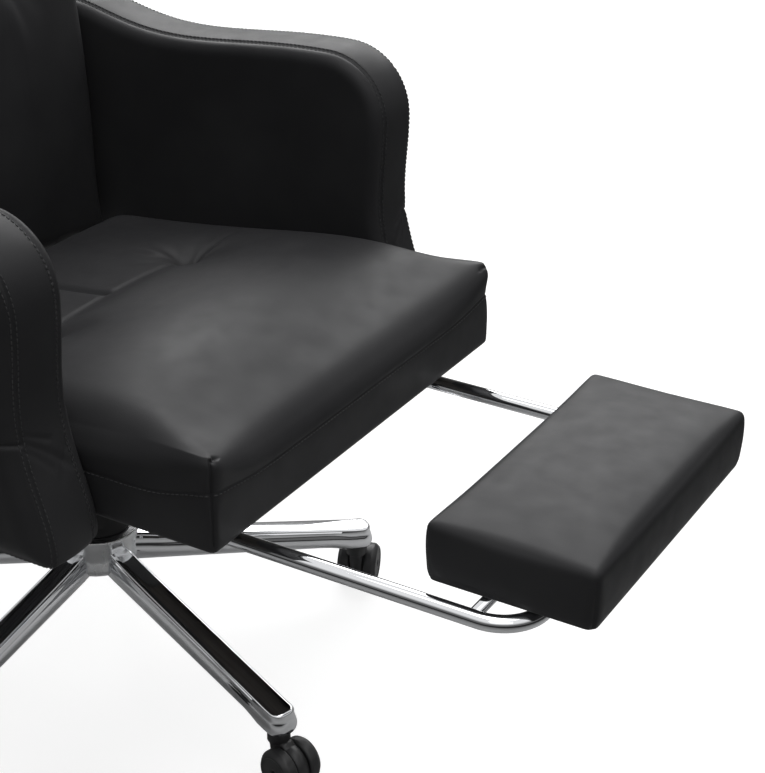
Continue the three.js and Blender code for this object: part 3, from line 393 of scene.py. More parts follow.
# Stitches
STITCH_PITCH, STITCH_LENGTH, STITCH_RADIUS = 0.0052, 0.0038, 0.0005
STITCH_INSET, STITCH_LIFT, STITCH_SIDES = 0.0045, 0.0003, 6
# Along a stitch: the place as a share of its length, and the width as a share of its radius
STITCH_SHAPE = [(-0.5, 0.35), (-0.32, 1.0), (0.0, 1.15), (0.32, 1.0), (0.5, 0.35)]
STITCH_ASIDE = (0.3, 0.2, 0.9)


def travelled(path):
    """How far along a path of points each of them lies."""
    return np.concatenate([[0], np.cumsum(np.linalg.norm(np.diff(path, axis=0), axis=1))])


def places_at(path, lengths):
    """The places at some lengths along a path of points."""
    known = travelled(path)
    return np.stack([np.interp(lengths, known, values) for values in path.T], 1)


def spaced(path, shares):
    """The places at some shares of the length of a path of points."""
    return places_at(path, np.asarray(shares) * travelled(path)[-1])


def stitches(name, path):
    """A row of short threads along a path of points. It rides on the seat."""
    length = travelled(path)[-1]
    count = max(int(length / STITCH_PITCH), 2)
    wanted = np.linspace(STITCH_PITCH / 2, length - STITCH_PITCH / 2, count)
    reach = STITCH_PITCH / 4
    along = unit(places_at(path, wanted + reach) - places_at(path, wanted - reach))
    places, widths = np.array(STITCH_SHAPE).T
    threads = [sweep(at + np.outer(places * STITCH_LENGTH, forward), widths * STITCH_RADIUS,
                     STITCH_SIDES, STITCH_ASIDE)
               for at, forward in zip(places_at(path, wanted), along)]
    return piece(name, *joined(threads), thread, "leather_black", "seat")


# Cloth
CLOTH_FRAMES, HELD_DECIMALS, SWELL_ROUNDS = 20, 2, 60
CLOTH_SETTINGS = {
    "quality": 5, "mass": 0.3, "tension_stiffness": 18, "compression_stiffness": 18,
    "shear_stiffness": 6, "bending_stiffness": 5.0, "vertex_group_mass": "sewn", "use_pressure": True,
}
covers = []


def upholstered(name, body, points, faces, held, pressure, cap, node):
    """A leather cover, noted for the cloth simulation. Each vertex is held by a share of 0 to 1."""
    made = piece(name, points, faces, leather, "leather_black", body, node)
    covers.append((made, held, pressure, cap))
    return made


def evened(mesh, moved):
    """Each vertex's move averaged with its neighbours' moves, so that only the broad swell stays."""
    pairs = np.empty(len(mesh.edges) * 2, dtype=np.int32)
    mesh.edges.foreach_get("vertices", pairs)
    first, second = pairs.reshape(-1, 2).T
    here, there = np.concatenate((first, second)), np.concatenate((second, first))
    count = 1 + np.bincount(here, minlength=len(moved))
    columns = []
    for values in moved.T:
        for _ in range(SWELL_ROUNDS):
            values = (values + np.bincount(here, values[there], len(values))) / count
        columns.append(values)
    return np.stack(columns, axis=1)


def simulate():
    """Blows all noted covers up between their seams, and keeps each point within its cap."""
    scene = bpy.context.scene
    if not covers:
        return
    rest = {}
    for made, held, pressure, _ in covers:
        rest[made.name] = coordinates(made.data)
        group = made.vertex_groups.new(name="sewn")
        rough = np.round(held, HELD_DECIMALS)
        for weight in np.unique(rough):
            group.add(np.flatnonzero(rough == weight).tolist(), float(weight), "REPLACE")
        cloth = made.modifiers.new("cloth", "CLOTH")
        for key, value in CLOTH_SETTINGS.items():
            setattr(cloth.settings, key, value)
        cloth.settings.uniform_pressure_force = pressure
        cloth.settings.effector_weights.gravity = 0
        cloth.collision_settings.use_collision = False
        cloth.point_cache.frame_start = 1
        cloth.point_cache.frame_end = CLOTH_FRAMES
    for step in range(1, CLOTH_FRAMES + 1):
        scene.frame_set(step)
    graph = bpy.context.evaluated_depsgraph_get()
    swollen = {made.name: coordinates(made.evaluated_get(graph).data) for made, *_ in covers}
    for made, held, _, cap in covers:
        made.modifiers.clear()
        made.vertex_groups.clear()
        moved = evened(made.data, swollen[made.name] - rest[made.name]) * (1 - held)[:, None]
        far = np.linalg.norm(moved, axis=1, keepdims=True)
        kept = cap * np.tanh(far / cap)
        place_vertices(made, rest[made.name] + moved * kept / np.maximum(far, TINY))
    scene.frame_set(1)


# Creases and grooves
def from_segment(points, start, end):
    """The distance of each point from a segment, and how far along the segment it is."""
    start, end = np.asarray(start, float), np.asarray(end, float)
    along = end - start
    share = np.clip((points - start) @ along / (along @ along), 0, 1)
    return np.linalg.norm(points - start - share[:, None] * along, axis=1), share


def press(made, path, depth, width, closed=False):
    """Presses a groove into a piece along a path of points on it."""
    points = coordinates(made.data)
    path = np.asarray(path, float)
    ends = np.roll(path, -1, 0) if closed else path[1:]
    near = np.full(len(points), np.inf)
    for start, end in zip(path, ends):
        close = np.flatnonzero(np.max(np.abs(points - (start + end) / 2), axis=1)
                               < np.linalg.norm(end - start) + 4 * width)
        if len(close):
            near[close] = np.minimum(near[close], from_segment(points[close], start, end)[0])
    pushed = depth * fade(near, width)
    place_vertices(made, points - normals(made.data) * pushed[:, None])


def laid_on(made, path, lift=0.0):
    """The path moved onto the surface of a piece, and out by the lift."""
    tree = BVHTree.FromPolygons([v.co for v in made.data.vertices],
                                [p.vertices for p in made.data.polygons])
    placed = []
    for point in path:
        place, normal, _, _ = tree.find_nearest(Vector(point))
        placed.append(place + normal * lift)
    return np.array(placed)


# Boxed cushions
CORNER_REACH, FRONT_REACH, EAR_REACH = 0.05, 0.085, 0.030
EAR_RISE, EAR_LIFT = 1.4, 0.3
SEAM_WIDTH, SEAM_HOLD, HELD_DEPTH = 0.005, 0.003, 0.009
SEAM_DROP_END, SEAM_BELOW_ROLL = 0.15, 0.6
# Sets how far up the sides the base's roll gives way to the top's
ROLL_CHANGE = 0.6


class Cushion:
    """A boxed cushion on its back: x is across it, y along it and z up from its underside."""

    def __init__(self, width, length, edge, seam, across=(), along=(), coarse=0.0085, fine=0.0028):
        tallest = max(edge(0), edge(1))
        self.length, self.edge, self.seam = length, edge, seam
        self.seam_share = seam / tallest
        x = lines(width(0), [0, *(width(0) / 2 + m for m in across), width(0)], coarse, fine)
        y = lines(length, [0, *along, length], coarse, fine)
        z = lines(tallest, [0, seam, tallest], coarse, fine)
        self.counts = (len(x) - 1, len(y) - 1, len(z) - 1)
        self.places, self.faces = shell(self.counts)
        self.u = (x / width(0) * 2 - 1)[self.places[:, 0]]
        self.v = (y / length)[self.places[:, 1]]
        self.levels = z / tallest
        self.share = self.levels[self.places[:, 2]]
        self.half_x = np.array([width(v) for v in self.v]) / 2
        self.base = self.places[:, 2] == 0
        self.top = self.places[:, 2] == self.counts[2]
        self.index = {tuple(p): i for i, p in enumerate(self.places)}

    def bend_rows(self, x_to_step, line, reach):
        """Bends the rows near a line to follow a curve across the cushion."""
        y = self.v * self.length
        self.v = (y + x_to_step(self.u * self.half_x) * fade(y - line, reach)) / self.length

    def shape(self, roll, corner_roll, base_roll=0.007, draw=0.004, seam_draw=0.0025, bulge=0.003,
              crown=None, sewn=None, corner=None, seam_lift=0.0, seam_drop=0.0, ear=0.0,
              front_roll=None, front_sag=0.0, corner_sag=0.0):
        """Sets the points, with rolled edges, drawn-in sides, a seam, a crown and sewing."""
        w = 2 * self.v - 1
        half = np.stack([
            self.half_x - draw * (1 - w * w),
            self.length / 2 - draw * (1 - self.u ** 2)], 1)
        plan = np.stack([self.u, w], 1) * half
        height = np.array([self.edge(v) for v in self.v])
        near_corner = np.prod(fade(half - np.abs(plan), CORNER_REACH), axis=1)
        at_front = fade(half[:, 1] + plan[:, 1], FRONT_REACH)
        at_ear = near_corner * (w < 0)
        height -= front_sag * at_front * (1 - self.u ** 6) + corner_sag * at_ear
        top_roll = between(roll, front_roll or roll, at_front)
        top_roll = between(top_roll, corner_roll, at_ear if front_roll else near_corner)
        seam = self.seam + seam_lift * near_corner - seam_drop * smooth(self.v / SEAM_DROP_END)
        seam = np.minimum(seam, height - top_roll * SEAM_BELOW_ROLL)
        below = self.share / self.seam_share
        above = (self.share - self.seam_share) / (1 - self.seam_share)
        z = np.where(below < 1, below * seam, seam + np.maximum(above, 0) * (height - seam))
        radius = between(base_roll, top_roll, smooth(z / height * 2 - ROLL_CHANGE))
        turn = np.maximum(radius, corner(self.v) if corner else 0)
        past = np.abs(plan) - (half - turn[:, None])
        deep = turn - past.max(axis=1)
        aside = np.where(past >= past.max(axis=1, keepdims=True), 1.0, 0.0)
        cornered = past.min(axis=1) > 0
        reach = np.linalg.norm(past[cornered], axis=1, keepdims=True)
        aside[cornered] = past[cornered] / reach
        past[cornered] *= past[cornered].max(axis=1, keepdims=True) / reach
        plan = np.sign(plan) * (half - turn[:, None] + past)
        aside *= np.where(plan < 0, -1, 1)
        profile = np.stack([deep, z], 1)
        core = np.stack([np.maximum(deep, radius), np.clip(z, radius, height - radius)], 1)
        out = unit(profile - core)
        rolled = core + out * radius[:, None]
        plan += aside * (deep - rolled[:, 0])[:, None]
        outward = np.column_stack([aside * -out[:, :1], out[:, 1]])
        points = np.column_stack([plan, rolled[:, 1]])
        z = points[:, 2]
        self.side = np.hypot(outward[:, 0], outward[:, 1]) * ~self.base
        seam_off = z - seam
        lower, upper = np.clip(z / seam, 0, 1), np.clip((z - seam) / (height - seam), 0, 1)
        swollen = bulge * (4 * lower * (1 - lower) + 4 * upper * (1 - upper) * (z > seam))
        drawn = seam_draw * fade(seam_off, SEAM_WIDTH)
        points += outward * ((swollen - drawn) * self.side ** 2)[:, None]
        if crown:
            points[:, 2] += crown(self.u, self.v) * np.maximum(outward[:, 2], 0) * (z > seam)
        tip = ear * np.prod(fade(half - np.abs(plan), EAR_REACH), axis=1) * (w < 0)
        tip *= smooth(upper * EAR_RISE)
        points += np.column_stack([np.sign(self.u) * tip, -tip, EAR_LIFT * tip])
        points[:, 1] += self.length / 2
        self.held = np.where(self.base, 1.0, fade(seam_off, SEAM_HOLD) * (self.side > 0.5))
        if sewn:
            sunk = sewn(points[:, 0], points[:, 1]) * self.top
            points[:, 2] -= sunk
            self.held = np.maximum(self.held, np.clip(sunk / HELD_DEPTH, 0, 1))
        self.points = points
        return self

    def loop(self, share):
        """The vertices of the loop round the sides at a share of the height, in order."""
        k = int(np.argmin(np.abs(self.levels - share)))
        nx, ny, _ = self.counts
        return [self.index[(i, j, k)] for i, j in rim(nx, ny)]

    def upright(self, side_x, side_y):
        """The vertices up a corner of the cushion."""
        nx, ny, nz = self.counts
        i, j = (nx if side_x > 0 else 0), (ny if side_y > 0 else 0)
        return [self.index[(i, j, k)] for k in range(nz + 1)]


# Dips are pairs of how deep each is and how wide.
TUFT_DIPS, CENTRE_DIPS = [(0.011, 0.036), (0.009, 0.011)], [(0.0035, 0.005), (0.002, 0.0025)]
CENTRE_START = 0.006
CHANNEL_DEPTH, CHANNEL_WALL, CHANNEL_RISE = 0.0075, 0.020, 0.11
CHANNEL_LIP, CHANNEL_LIP_WIDTH = 0.18, 0.003
CHANNEL_PAST_TUFT, CHANNEL_END = 0.004, 0.012
# Each crease from a tuft: where it ends from the tuft, how deep it is and how wide
TUFT_CREASES = [
    ((0.092, -0.004), 0.0065, 0.0065), ((0.080, 0.016), 0.0050, 0.0050),
    ((0.047, 0.046), 0.0030, 0.0050), ((0.020, 0.068), 0.0038, 0.0055),
    ((-0.008, 0.050), 0.0026, 0.0050), ((-0.034, 0.052), 0.0022, 0.0060),
    ((0.055, -0.034), 0.0018, 0.0080), ((-0.030, -0.042), 0.0012, 0.0090),
]
# A crease's width at the tuft and at its end, as shares of the given one, and how it fades
CREASE_START_SHARE, CREASE_END_SHARE, CREASE_FADING = 0.6, 1.3, 0.7


def channel_step(x):
    return CHANNEL_ARCH * (1 - np.minimum(np.abs(x) / TUFT_X, 1) ** 3)


def dips(distance, pairs):
    return sum(deep * fade(distance, wide) for deep, wide in pairs)


def tufted(line, seam_side):
    """Gives how deep the tufts, their creases, the channel and the centre seam are at a place."""
    def depth(x, y):
        off = (y - line) * seam_side
        beyond = off - channel_step(x)
        sunk = dips(np.hypot(np.abs(x) - TUFT_X, off), TUFT_DIPS)
        lip = 1 - CHANNEL_LIP * (1 - fade(beyond, CHANNEL_LIP_WIDTH))
        wall = np.where(beyond < 0, fade(beyond, CHANNEL_WALL), lip)
        wall = wall * fade(np.maximum(beyond, 0), CHANNEL_RISE)
        inside = smooth((TUFT_X + CHANNEL_PAST_TUFT - np.abs(x)) / CHANNEL_END)
        sunk = np.maximum(sunk, CHANNEL_DEPTH * wall * inside)
        sunk += dips(x, CENTRE_DIPS) * smooth(beyond / CENTRE_START)
        flat = np.stack([np.abs(x), off], 1)
        for tip, deep, wide in TUFT_CREASES:
            near, share = from_segment(flat, (TUFT_X, 0), (TUFT_X + tip[0], tip[1]))
            reach = wide * between(CREASE_START_SHARE, CREASE_END_SHARE, share)
            sunk += deep * fade(near, reach) * (1 - share) ** CREASE_FADING
        return sunk
    return depth


def moved_by(y, z):
    return lambda points: points + np.array([0, y, z])


def lean(z):
    """How far the back leans away from its lower end at a height."""
    above = np.maximum(z - LEAN_START, 0)
    curved = np.minimum(above, LEAN_RUN)
    return LEAN_SHARE * (curved * curved / (2 * LEAN_RUN) + above - curved)


def leaning(start, plane, forwards):
    """Stands a cushion up from a height. Its crown faces forwards, or backwards for -1."""
    def place(points):
        z = start + points[:, 1]
        return np.stack([points[:, 0], plane - forwards * points[:, 2] + lean(z), z], 1)
    return place


def flipped(faces):
    return [face[::-1] for face in faces]


# Seat
PILLOW_START, SEAT_FALL_START = 0.30, 0.12
SEAT_CROWN, PILLOW_CROWN, PILLOW_REACH = 0.010, 0.008, 0.24
ARM_CONTACT, ARM_HOLD = 0.13, 0.9


def seat_edge(v):
    fall = smooth((v - SEAT_FALL_START) / (1 - SEAT_FALL_START))
    return between(SEAT_FRONT_HEIGHT, SEAT_REAR_HEIGHT, fall)


def seat_crown(u, v):
    height = SEAT_CROWN + PILLOW_CROWN * fade(np.maximum(v - PILLOW_START, 0), PILLOW_REACH)
    return height * dome(u, np.maximum(v, PILLOW_START)) * smooth(v / PILLOW_START)


seat = Cushion(lambda v: SEAT_WIDTH, SEAT_DEPTH, seat_edge, SEAT_SEAM,
               (-TUFT_X, 0, TUFT_X), (SEAT_TUFT - ROW_BEFORE, SEAT_TUFT + ROW_AFTER))
seat.bend_rows(channel_step, SEAT_TUFT, BEND_REACH)
seat.shape(
    roll=0.043, front_roll=0.031, front_sag=0.018, corner_sag=0.002, corner_roll=0.017,
    seam_lift=0.009, seam_drop=0.006, bulge=0.0, draw=0.0, seam_draw=0.0006, ear=0.0025,
    sewn=tufted(SEAT_TUFT, 1), crown=seat_crown)
beside_arm = (seat.side > 0.5) & (seat.v * SEAT_DEPTH > ARM_CONTACT)
seat.held = np.maximum(seat.held, np.where(beside_arm, ARM_HOLD, 0))
seat_place = moved_by(SEAT_FRONT, SEAT_BOTTOM)
seat_piece = upholstered("seat_cover", "seat", seat_place(seat.points), seat.faces, seat.held,
                         pressure=0.3, cap=0.002, node="seat_cushion")

# Back, head and the shell behind them
BACK_SEAM, HEAD_SEAM, SHELL_SEAM = 0.036, 0.040, 0.012
BACK_CROWN, HEAD_CROWN, SHELL_CROWN = 0.013, 0.019, 0.004
# The radius of the corners at the lower end and at the upper one
HEAD_CORNERS, SHELL_CORNERS = (0.020, 0.056), (0.020, 0.062)
back = Cushion(lambda v: BACK_WIDTH, BACK_LENGTH, lambda v: BACK_EDGE, BACK_SEAM,
               (-TUFT_X, 0, TUFT_X), (BACK_TUFT - ROW_AFTER, BACK_TUFT + ROW_BEFORE))
back.bend_rows(lambda x: -channel_step(x), BACK_TUFT, BEND_REACH)
back.shape(roll=0.028, corner_roll=0.016, sewn=tufted(BACK_TUFT, -1),
           crown=lambda u, v: BACK_CROWN * dome(u, v))
back_place = leaning(BACK_BOTTOM, BACK_PLANE, 1)
back_piece = upholstered("back_cover", "backrest", back_place(back.points), back.faces, back.held,
                         pressure=1.0, cap=0.006, node="back_cushion")
HEAD_BOTTOM = BACK_BOTTOM + BACK_LENGTH + CUSHION_SPLIT
head = Cushion(lambda v: between(BACK_WIDTH, HEAD_WIDTH, v * v), HEAD_LENGTH, lambda v: HEAD_EDGE,
               HEAD_SEAM)
head.shape(roll=0.028, corner_roll=0.020, crown=lambda u, v: HEAD_CROWN * dome(u, v),
           corner=lambda v: between(*HEAD_CORNERS, v))
head_place = leaning(HEAD_BOTTOM, BACK_PLANE, 1)
head_piece = upholstered("head_cover", "backrest", head_place(head.points), head.faces, head.held,
                         pressure=1.0, cap=0.006, node="head_cushion")
shell_low, shell_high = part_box("back_shell")
rear = Cushion(lambda v: between(BACK_WIDTH, HEAD_WIDTH, v ** 4), shell_high.z - shell_low.z,
               lambda v: SHELL_DEPTH, SHELL_SEAM)
rear.shape(roll=0.034, corner_roll=0.034, draw=0.0, crown=lambda u, v: SHELL_CROWN * dome(u, v),
           corner=lambda v: between(*SHELL_CORNERS, v))
rear_place = leaning(shell_low.z, BACK_PLANE + SHELL_GAP, -1)
rear_piece = upholstered("rear_cover", "backrest", rear_place(rear.points), flipped(rear.faces),
                         rear.held, pressure=0.6, cap=0.004, node="back_shell")

# Footrest pad
pad_low, pad_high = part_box("footrest_pad")
PAD_WIDTH, PAD_DEPTH, PAD_HEIGHT, PAD_SEAM, PAD_CROWN = 0.347, 0.163, 0.061, 0.006, 0.005
pad = Cushion(lambda v: PAD_WIDTH, PAD_DEPTH, lambda v: PAD_HEIGHT, PAD_SEAM,
              coarse=0.0065, fine=0.0025)
pad.shape(roll=0.011, corner_roll=0.007, base_roll=0.010, draw=0.0, seam_draw=0.0, bulge=0.002,
          crown=lambda u, v: PAD_CROWN * dome(u, v))
pad_place = moved_by((pad_low.y + pad_high.y - PAD_DEPTH) / 2, pad_low.z)
pad_piece = upholstered("pad_cover", "footrest_flap", pad_place(pad.points), pad.faces, pad.held,
                        pressure=0.6, cap=0.003, node="footrest_pad")


# Armrests
arm_low, arm_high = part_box("arm_left")
ARM_INNER, ARM_BOTTOM, ARM_REAR = arm_low.x, arm_low.z, arm_high.y
ARM_FRONT = arm_low.y + ARM_FLARE
ARM_BELOW_BOX, ARM_FOOT_HELD = 0.004, 0.004
ARM_TOP = arm_high.z - ARM_BELOW_BOX - ARM_REAR_RISE
WAIST_Z = ARM_BOTTOM + ARM_WAIST
FOOT_CORNER, REAR_CORNER, WAIST_STEP, LOWEST_SHARE = 0.012, 0.034, 0.004, 0.6
# Where the two handles of each long curve stand, as shares of its reach
FLARE_SHARES, NECK_SHARES, DIP_SHARES, CLIMB_SHARES = (0.35, 0.6), (0.2, 0.3), (0.4, 0.7), (0.4, 0.6)
CURVE_POINTS, BEND_POINTS, NOSE_POINTS, OUTLINE_POINTS = 40, 16, 41, 700


def bezier(points, count=CURVE_POINTS):
    a, b, c, d = (np.array(p) for p in points)
    t = np.linspace(0, 1, count)[:, None]
    return (1 - t) ** 3 * a + 3 * (1 - t) ** 2 * t * b + 3 * (1 - t) * t * t * c + t ** 3 * d


def bend(start, corner, end):
    a, b, c = (np.array(p) for p in (start, corner, end))
    return bezier((a, a + (b - a) * 2 / 3, c + (b - c) * 2 / 3, c), BEND_POINTS)


def arm_sides():
    """The arm's outline in Y and Z as four lines: front and rear go up, bottom and top go back."""
    foot, waist, waist_y = ARM_FRONT - ARM_FLARE, WAIST_Z, ARM_FRONT + WAIST_STEP
    top, rise, dip_z = ARM_TOP, ARM_TOP + ARM_REAR_RISE, ARM_TOP - ARM_DIP
    first, middle = ARM_FRONT + ARM_NOSE, between(ARM_FRONT, ARM_REAR, LOWEST_SHARE)
    low = bend((foot + FOOT_CORNER, ARM_BOTTOM), (foot, ARM_BOTTOM), (foot, ARM_BOTTOM + FOOT_CORNER))
    flare = bezier([
        (foot, ARM_BOTTOM + FOOT_CORNER), (foot, between(ARM_BOTTOM, waist, FLARE_SHARES[0])),
        (waist_y, between(ARM_BOTTOM, waist, FLARE_SHARES[1])), (waist_y, waist)])
    neck = bezier([
        (waist_y, waist), (waist_y, between(waist, top, NECK_SHARES[0])),
        (ARM_FRONT, between(waist, top, NECK_SHARES[1])), (ARM_FRONT, top - ARM_NOSE)])
    turn = np.linspace(math.pi, math.pi / 2, NOSE_POINTS)
    nose = np.stack([first + ARM_NOSE * np.cos(turn), top - ARM_NOSE * (1 - np.sin(turn))], 1)
    dip = bezier([(first, top), (between(first, middle, DIP_SHARES[0]), top),
                  (between(first, middle, DIP_SHARES[1]), dip_z), (middle, dip_z)])
    climb = bezier([(middle, dip_z), (between(middle, ARM_REAR, CLIMB_SHARES[0]), dip_z),
                    (between(middle, ARM_REAR, CLIMB_SHARES[1]), rise), (ARM_REAR - REAR_CORNER, rise)])
    high = bend((ARM_REAR - REAR_CORNER, rise), (ARM_REAR, rise), (ARM_REAR, rise - REAR_CORNER))
    heel = bend((ARM_REAR, ARM_BOTTOM + FOOT_CORNER), (ARM_REAR, ARM_BOTTOM),
                (ARM_REAR - FOOT_CORNER, ARM_BOTTOM))
    half, split = BEND_POINTS // 2, NOSE_POINTS // 2
    front = np.concatenate([low[half:], flare[1:], neck[1:], nose[1:split + 1]])
    over = np.concatenate([nose[split:], dip[1:], climb[1:], high[1:half + 1]])
    rear_line = np.concatenate([high[half:], heel[:half]])[::-1]
    under = np.concatenate([heel[half - 1:], low[:half + 1]])[::-1]
    return front, rear_line, under, over


BAND_ROLL, BAND_INSET, BAND_PUFF, BAND_HOLD = 0.014, 0.003, 0.0022, 0.25
# The share of the arm's height at which its outer side is joined from two panels
ARM_JOIN = 0.41
SIDE_BULGE, SIDE_BULGE_REACH = 0.013, 0.030
EDGE_BULGE, EDGE_BULGE_REACH = 0.004, 0.010
# Each crease on the arm's front: its ends in X and Z, how deep it is and how wide
ARM_CREASES = [
    ((0.334, 0.4745), (0.282, 0.434), 0.0016, 0.0030), ((0.334, 0.480), (0.300, 0.466), 0.0012, 0.0026),
    ((0.334, 0.468), (0.304, 0.440), 0.0012, 0.0032), ((0.276, 0.455), (0.300, 0.425), 0.0008, 0.0040),
]
arm_band = ARM_THICKNESS - BAND_ROLL - BAND_INSET


def arm_form(side):
    """An arm's points, faces and hold, then its seams, its rows of stitches and its join."""
    front, rear_line, under, over = arm_sides()
    across = lines(arm_band, [0, arm_band], coarse=0.010, fine=0.003) / arm_band
    back_share = lines(1, [0, 1], coarse=0.020, fine=0.007)
    up_share = lines(1, [0, ARM_JOIN, 1], coarse=0.026, fine=0.007)
    counts = (len(across) - 1, len(back_share) - 1, len(up_share) - 1)
    places, faces = shell(counts)
    s, t = back_share[places[:, 1]][:, None], up_share[places[:, 2]][:, None]
    bottom, top = spaced(under, s[:, 0]), spaced(over, s[:, 0])
    ahead, behind = spaced(front, t[:, 0]), spaced(rear_line, t[:, 0])
    a, b, c, d = under[0], over[0], over[-1], under[-1]
    flat = (1 - t) * bottom + t * top + (1 - s) * ahead + s * behind
    flat -= (1 - s) * (1 - t) * a + s * (1 - t) * d + (1 - s) * t * b + s * t * c
    row = np.flatnonzero((t[:, 0] == ARM_JOIN) & (places[:, 0] == 0))
    row = row[np.argsort(s[row, 0])]
    row_s, row_z = s[row, 0], flat[row, 1]
    straight = between(row_z[0], row_z[-1], (row_s - row_s[0]) / (row_s[-1] - row_s[0]))
    nearness = np.minimum(t / ARM_JOIN, (1 - t) / (1 - ARM_JOIN))[:, 0]
    flat[:, 1] += np.interp(s[:, 0], row_s, straight - row_z) * nearness
    outline = np.concatenate([front, over[1:], rear_line[::-1][1:], under[::-1][1:]])
    outline = spaced(outline, np.linspace(0, 1, OUTLINE_POINTS))
    deep = np.array([np.min(np.linalg.norm(outline - p, axis=1)) for p in flat])
    edge = (s[:, 0] == 0) | (s[:, 0] == 1) | (t[:, 0] == 0) | (t[:, 0] == 1)
    deep[edge] = 0
    share = across[places[:, 0]]
    x = ARM_INNER + BAND_ROLL + share * arm_band
    inner, outer = (share == 0) & ~edge, (share == 1) & ~edge
    roll = np.clip(1 - deep / BAND_ROLL, 0, 1)
    x = np.where(inner, ARM_INNER + BAND_ROLL * (1 - np.sqrt(1 - roll ** 2)), x)
    bulge = SIDE_BULGE * smooth(deep / SIDE_BULGE_REACH)
    bulge += EDGE_BULGE * fade(deep - BAND_ROLL, EDGE_BULGE_REACH)
    x = np.where(outer, ARM_INNER + ARM_THICKNESS - BAND_INSET + bulge, x)
    centre = np.array([between(ARM_FRONT, ARM_REAR, 0.5), WAIST_Z])
    puffed = BAND_PUFF * 4 * share * (1 - share) * edge
    flat = flat + unit(flat - centre) * puffed[:, None]
    points = np.column_stack([side * x, flat])
    firm = (edge & ((share == 0) | (share == 1))) | (flat[:, 1] < ARM_BOTTOM + ARM_FOOT_HELD)
    held = np.where(firm, 1.0, BAND_HOLD)
    index = {tuple(p): i for i, p in enumerate(places)}
    nx, ny, nz = counts
    loops = {i: points[[index[(i, j, nz - k)] for j, k in rim(ny, nz)]] for i in (0, nx, 1, nx - 1)}
    seams, rows = [loops[0], loops[nx]], [loops[1], loops[nx - 1]]
    joint = int(np.argmin(np.abs(up_share - ARM_JOIN)))
    join = points[[index[(nx, j, joint)] for j in range(ny + 1)]]
    for seam in seams:
        inward = np.array([0, *centre]) - seam * np.array([0, 1, 1])
        inward[:, 0] = 0
        rows.append(seam + unit(inward) * STITCH_INSET)
    return points, (faces if side > 0 else flipped(faces)), held, seams, rows, join


arm_pieces = {}
for side_name, side in SIDES.items():
    points, faces, held, seams, rows, join = arm_form(side)
    arm = upholstered(f"arm_cover_{side_name}", "seat", points, faces, held,
                      pressure=0.8, cap=0.003, node=f"arm_{side_name}")
    arm_pieces[side_name] = (arm, seams, rows, join)


# Sewing, after the cloth
simulate()
for made in (seat_piece, back_piece, head_piece, rear_piece, pad_piece,
             *(arm for arm, *_ in arm_pieces.values())):
    subdivide(made)


def sewn_line(made, path, depth, width, closed=False):
    """Presses a seam into a piece along a path near it."""
    press(made, laid_on(made, path), depth, width, closed)


def seam_ring(form, place, share):
    return place(form.points)[form.loop(share)]


SEAM_STITCH_DROP = 0.030
# How deep and how wide each seam's groove is
SEAT_GROOVE, HOOK_GROOVE, PAD_GROOVE = (0.0008, 0.0013), (0.0028, 0.0018), (0.0016, 0.0016)
BACK_GROOVE, SHELL_GROOVE = (0.0020, 0.0022), (0.0015, 0.0022)
ARM_GROOVE, JOIN_GROOVE = (0.0020, 0.0020), (0.0022, 0.0026)
# At the top of the seat's front corners, the seam ends in a short hook towards the middle.
CORNER_HOOK = [(0.001, -0.002, -0.004), (0.006, -0.002, 0.000), (0.010, -0.002, -0.002)]
sewn_line(seat_piece, seam_ring(seat, seat_place, seat.seam_share), *SEAT_GROOVE, closed=True)
seat_points = seat_place(seat.points)
for side in SIDES.values():
    post = seat_points[seat.upright(side, -1)]
    hook = post[-1] + np.array(CORNER_HOOK) * np.array([-side, 1, 1])
    sewn_line(seat_piece, np.concatenate([post[2:-2], hook]), *HOOK_GROOVE)
seat_row = seam_ring(seat, seat_place, seat.seam_share - SEAM_STITCH_DROP)
stitches("seat_stitches", laid_on(seat_piece, seat_row, STITCH_LIFT))
for form, place, made, groove in ((back, back_place, back_piece, BACK_GROOVE),
                                  (head, head_place, head_piece, BACK_GROOVE),
                                  (rear, rear_place, rear_piece, SHELL_GROOVE)):
    sewn_line(made, seam_ring(form, place, form.seam_share), *groove, closed=True)
for side_x in (-1, 1):
    for side_y in (-1, 1):
        post = pad_place(pad.points[pad.upright(side_x, side_y)])
        sewn_line(pad_piece, post[1:-3], *PAD_GROOVE)
CREASE_POINTS, CREASE_AHEAD, CREASE_BOW = 9, 0.01, 1.3
for side_name, (arm, seams, rows, join) in arm_pieces.items():
    for seam in seams:
        sewn_line(arm, seam, *ARM_GROOVE, closed=True)
    sewn_line(arm, join, *JOIN_GROOVE)
    for (high_x, high_z), (low_x, low_z), depth, width in ARM_CREASES:
        share = np.linspace(0, 1, CREASE_POINTS)
        crease = np.column_stack([SIDES[side_name] * between(high_x, low_x, share),
                                  np.full(CREASE_POINTS, ARM_FRONT - CREASE_AHEAD),
                                  between(high_z, low_z, share ** CREASE_BOW)])
        sewn_line(arm, crease, depth, width)
    for row in rows:
        stitches(f"arm_stitches_{side_name}", laid_on(arm, row, STITCH_LIFT))


# Chrome base
def turned_about(points, degrees, centre=(0.0, 0.0)):
    turn = math.radians(degrees)
    x, y = points[:, 0], points[:, 1]
    return np.column_stack([centre[0] + x * math.cos(turn) - y * math.sin(turn),
                            centre[1] + x * math.sin(turn) + y * math.cos(turn), points[:, 2]])


LEG_COUNT, LEG_RADIUS, FIRST_LEG = 5, 0.317, -107.4
LEG_START, LEG_WALL, LEG_BEVEL = 0.026, 0.003, 0.0045
LEG_WIDTHS, LEG_HEIGHTS = (0.030, 0.035), (0.032, 0.023)
NOSE_BOTTOM, NOSE_HEIGHT, NOSE_RADIUS, NOSE_CORNER = 0.0615, 0.027, 0.018, 0.0145
HUB_LOW, HUB_HIGH, HUB_SOFTENING, HUB_SIDES = 0.117, 0.165, 0.003, 96
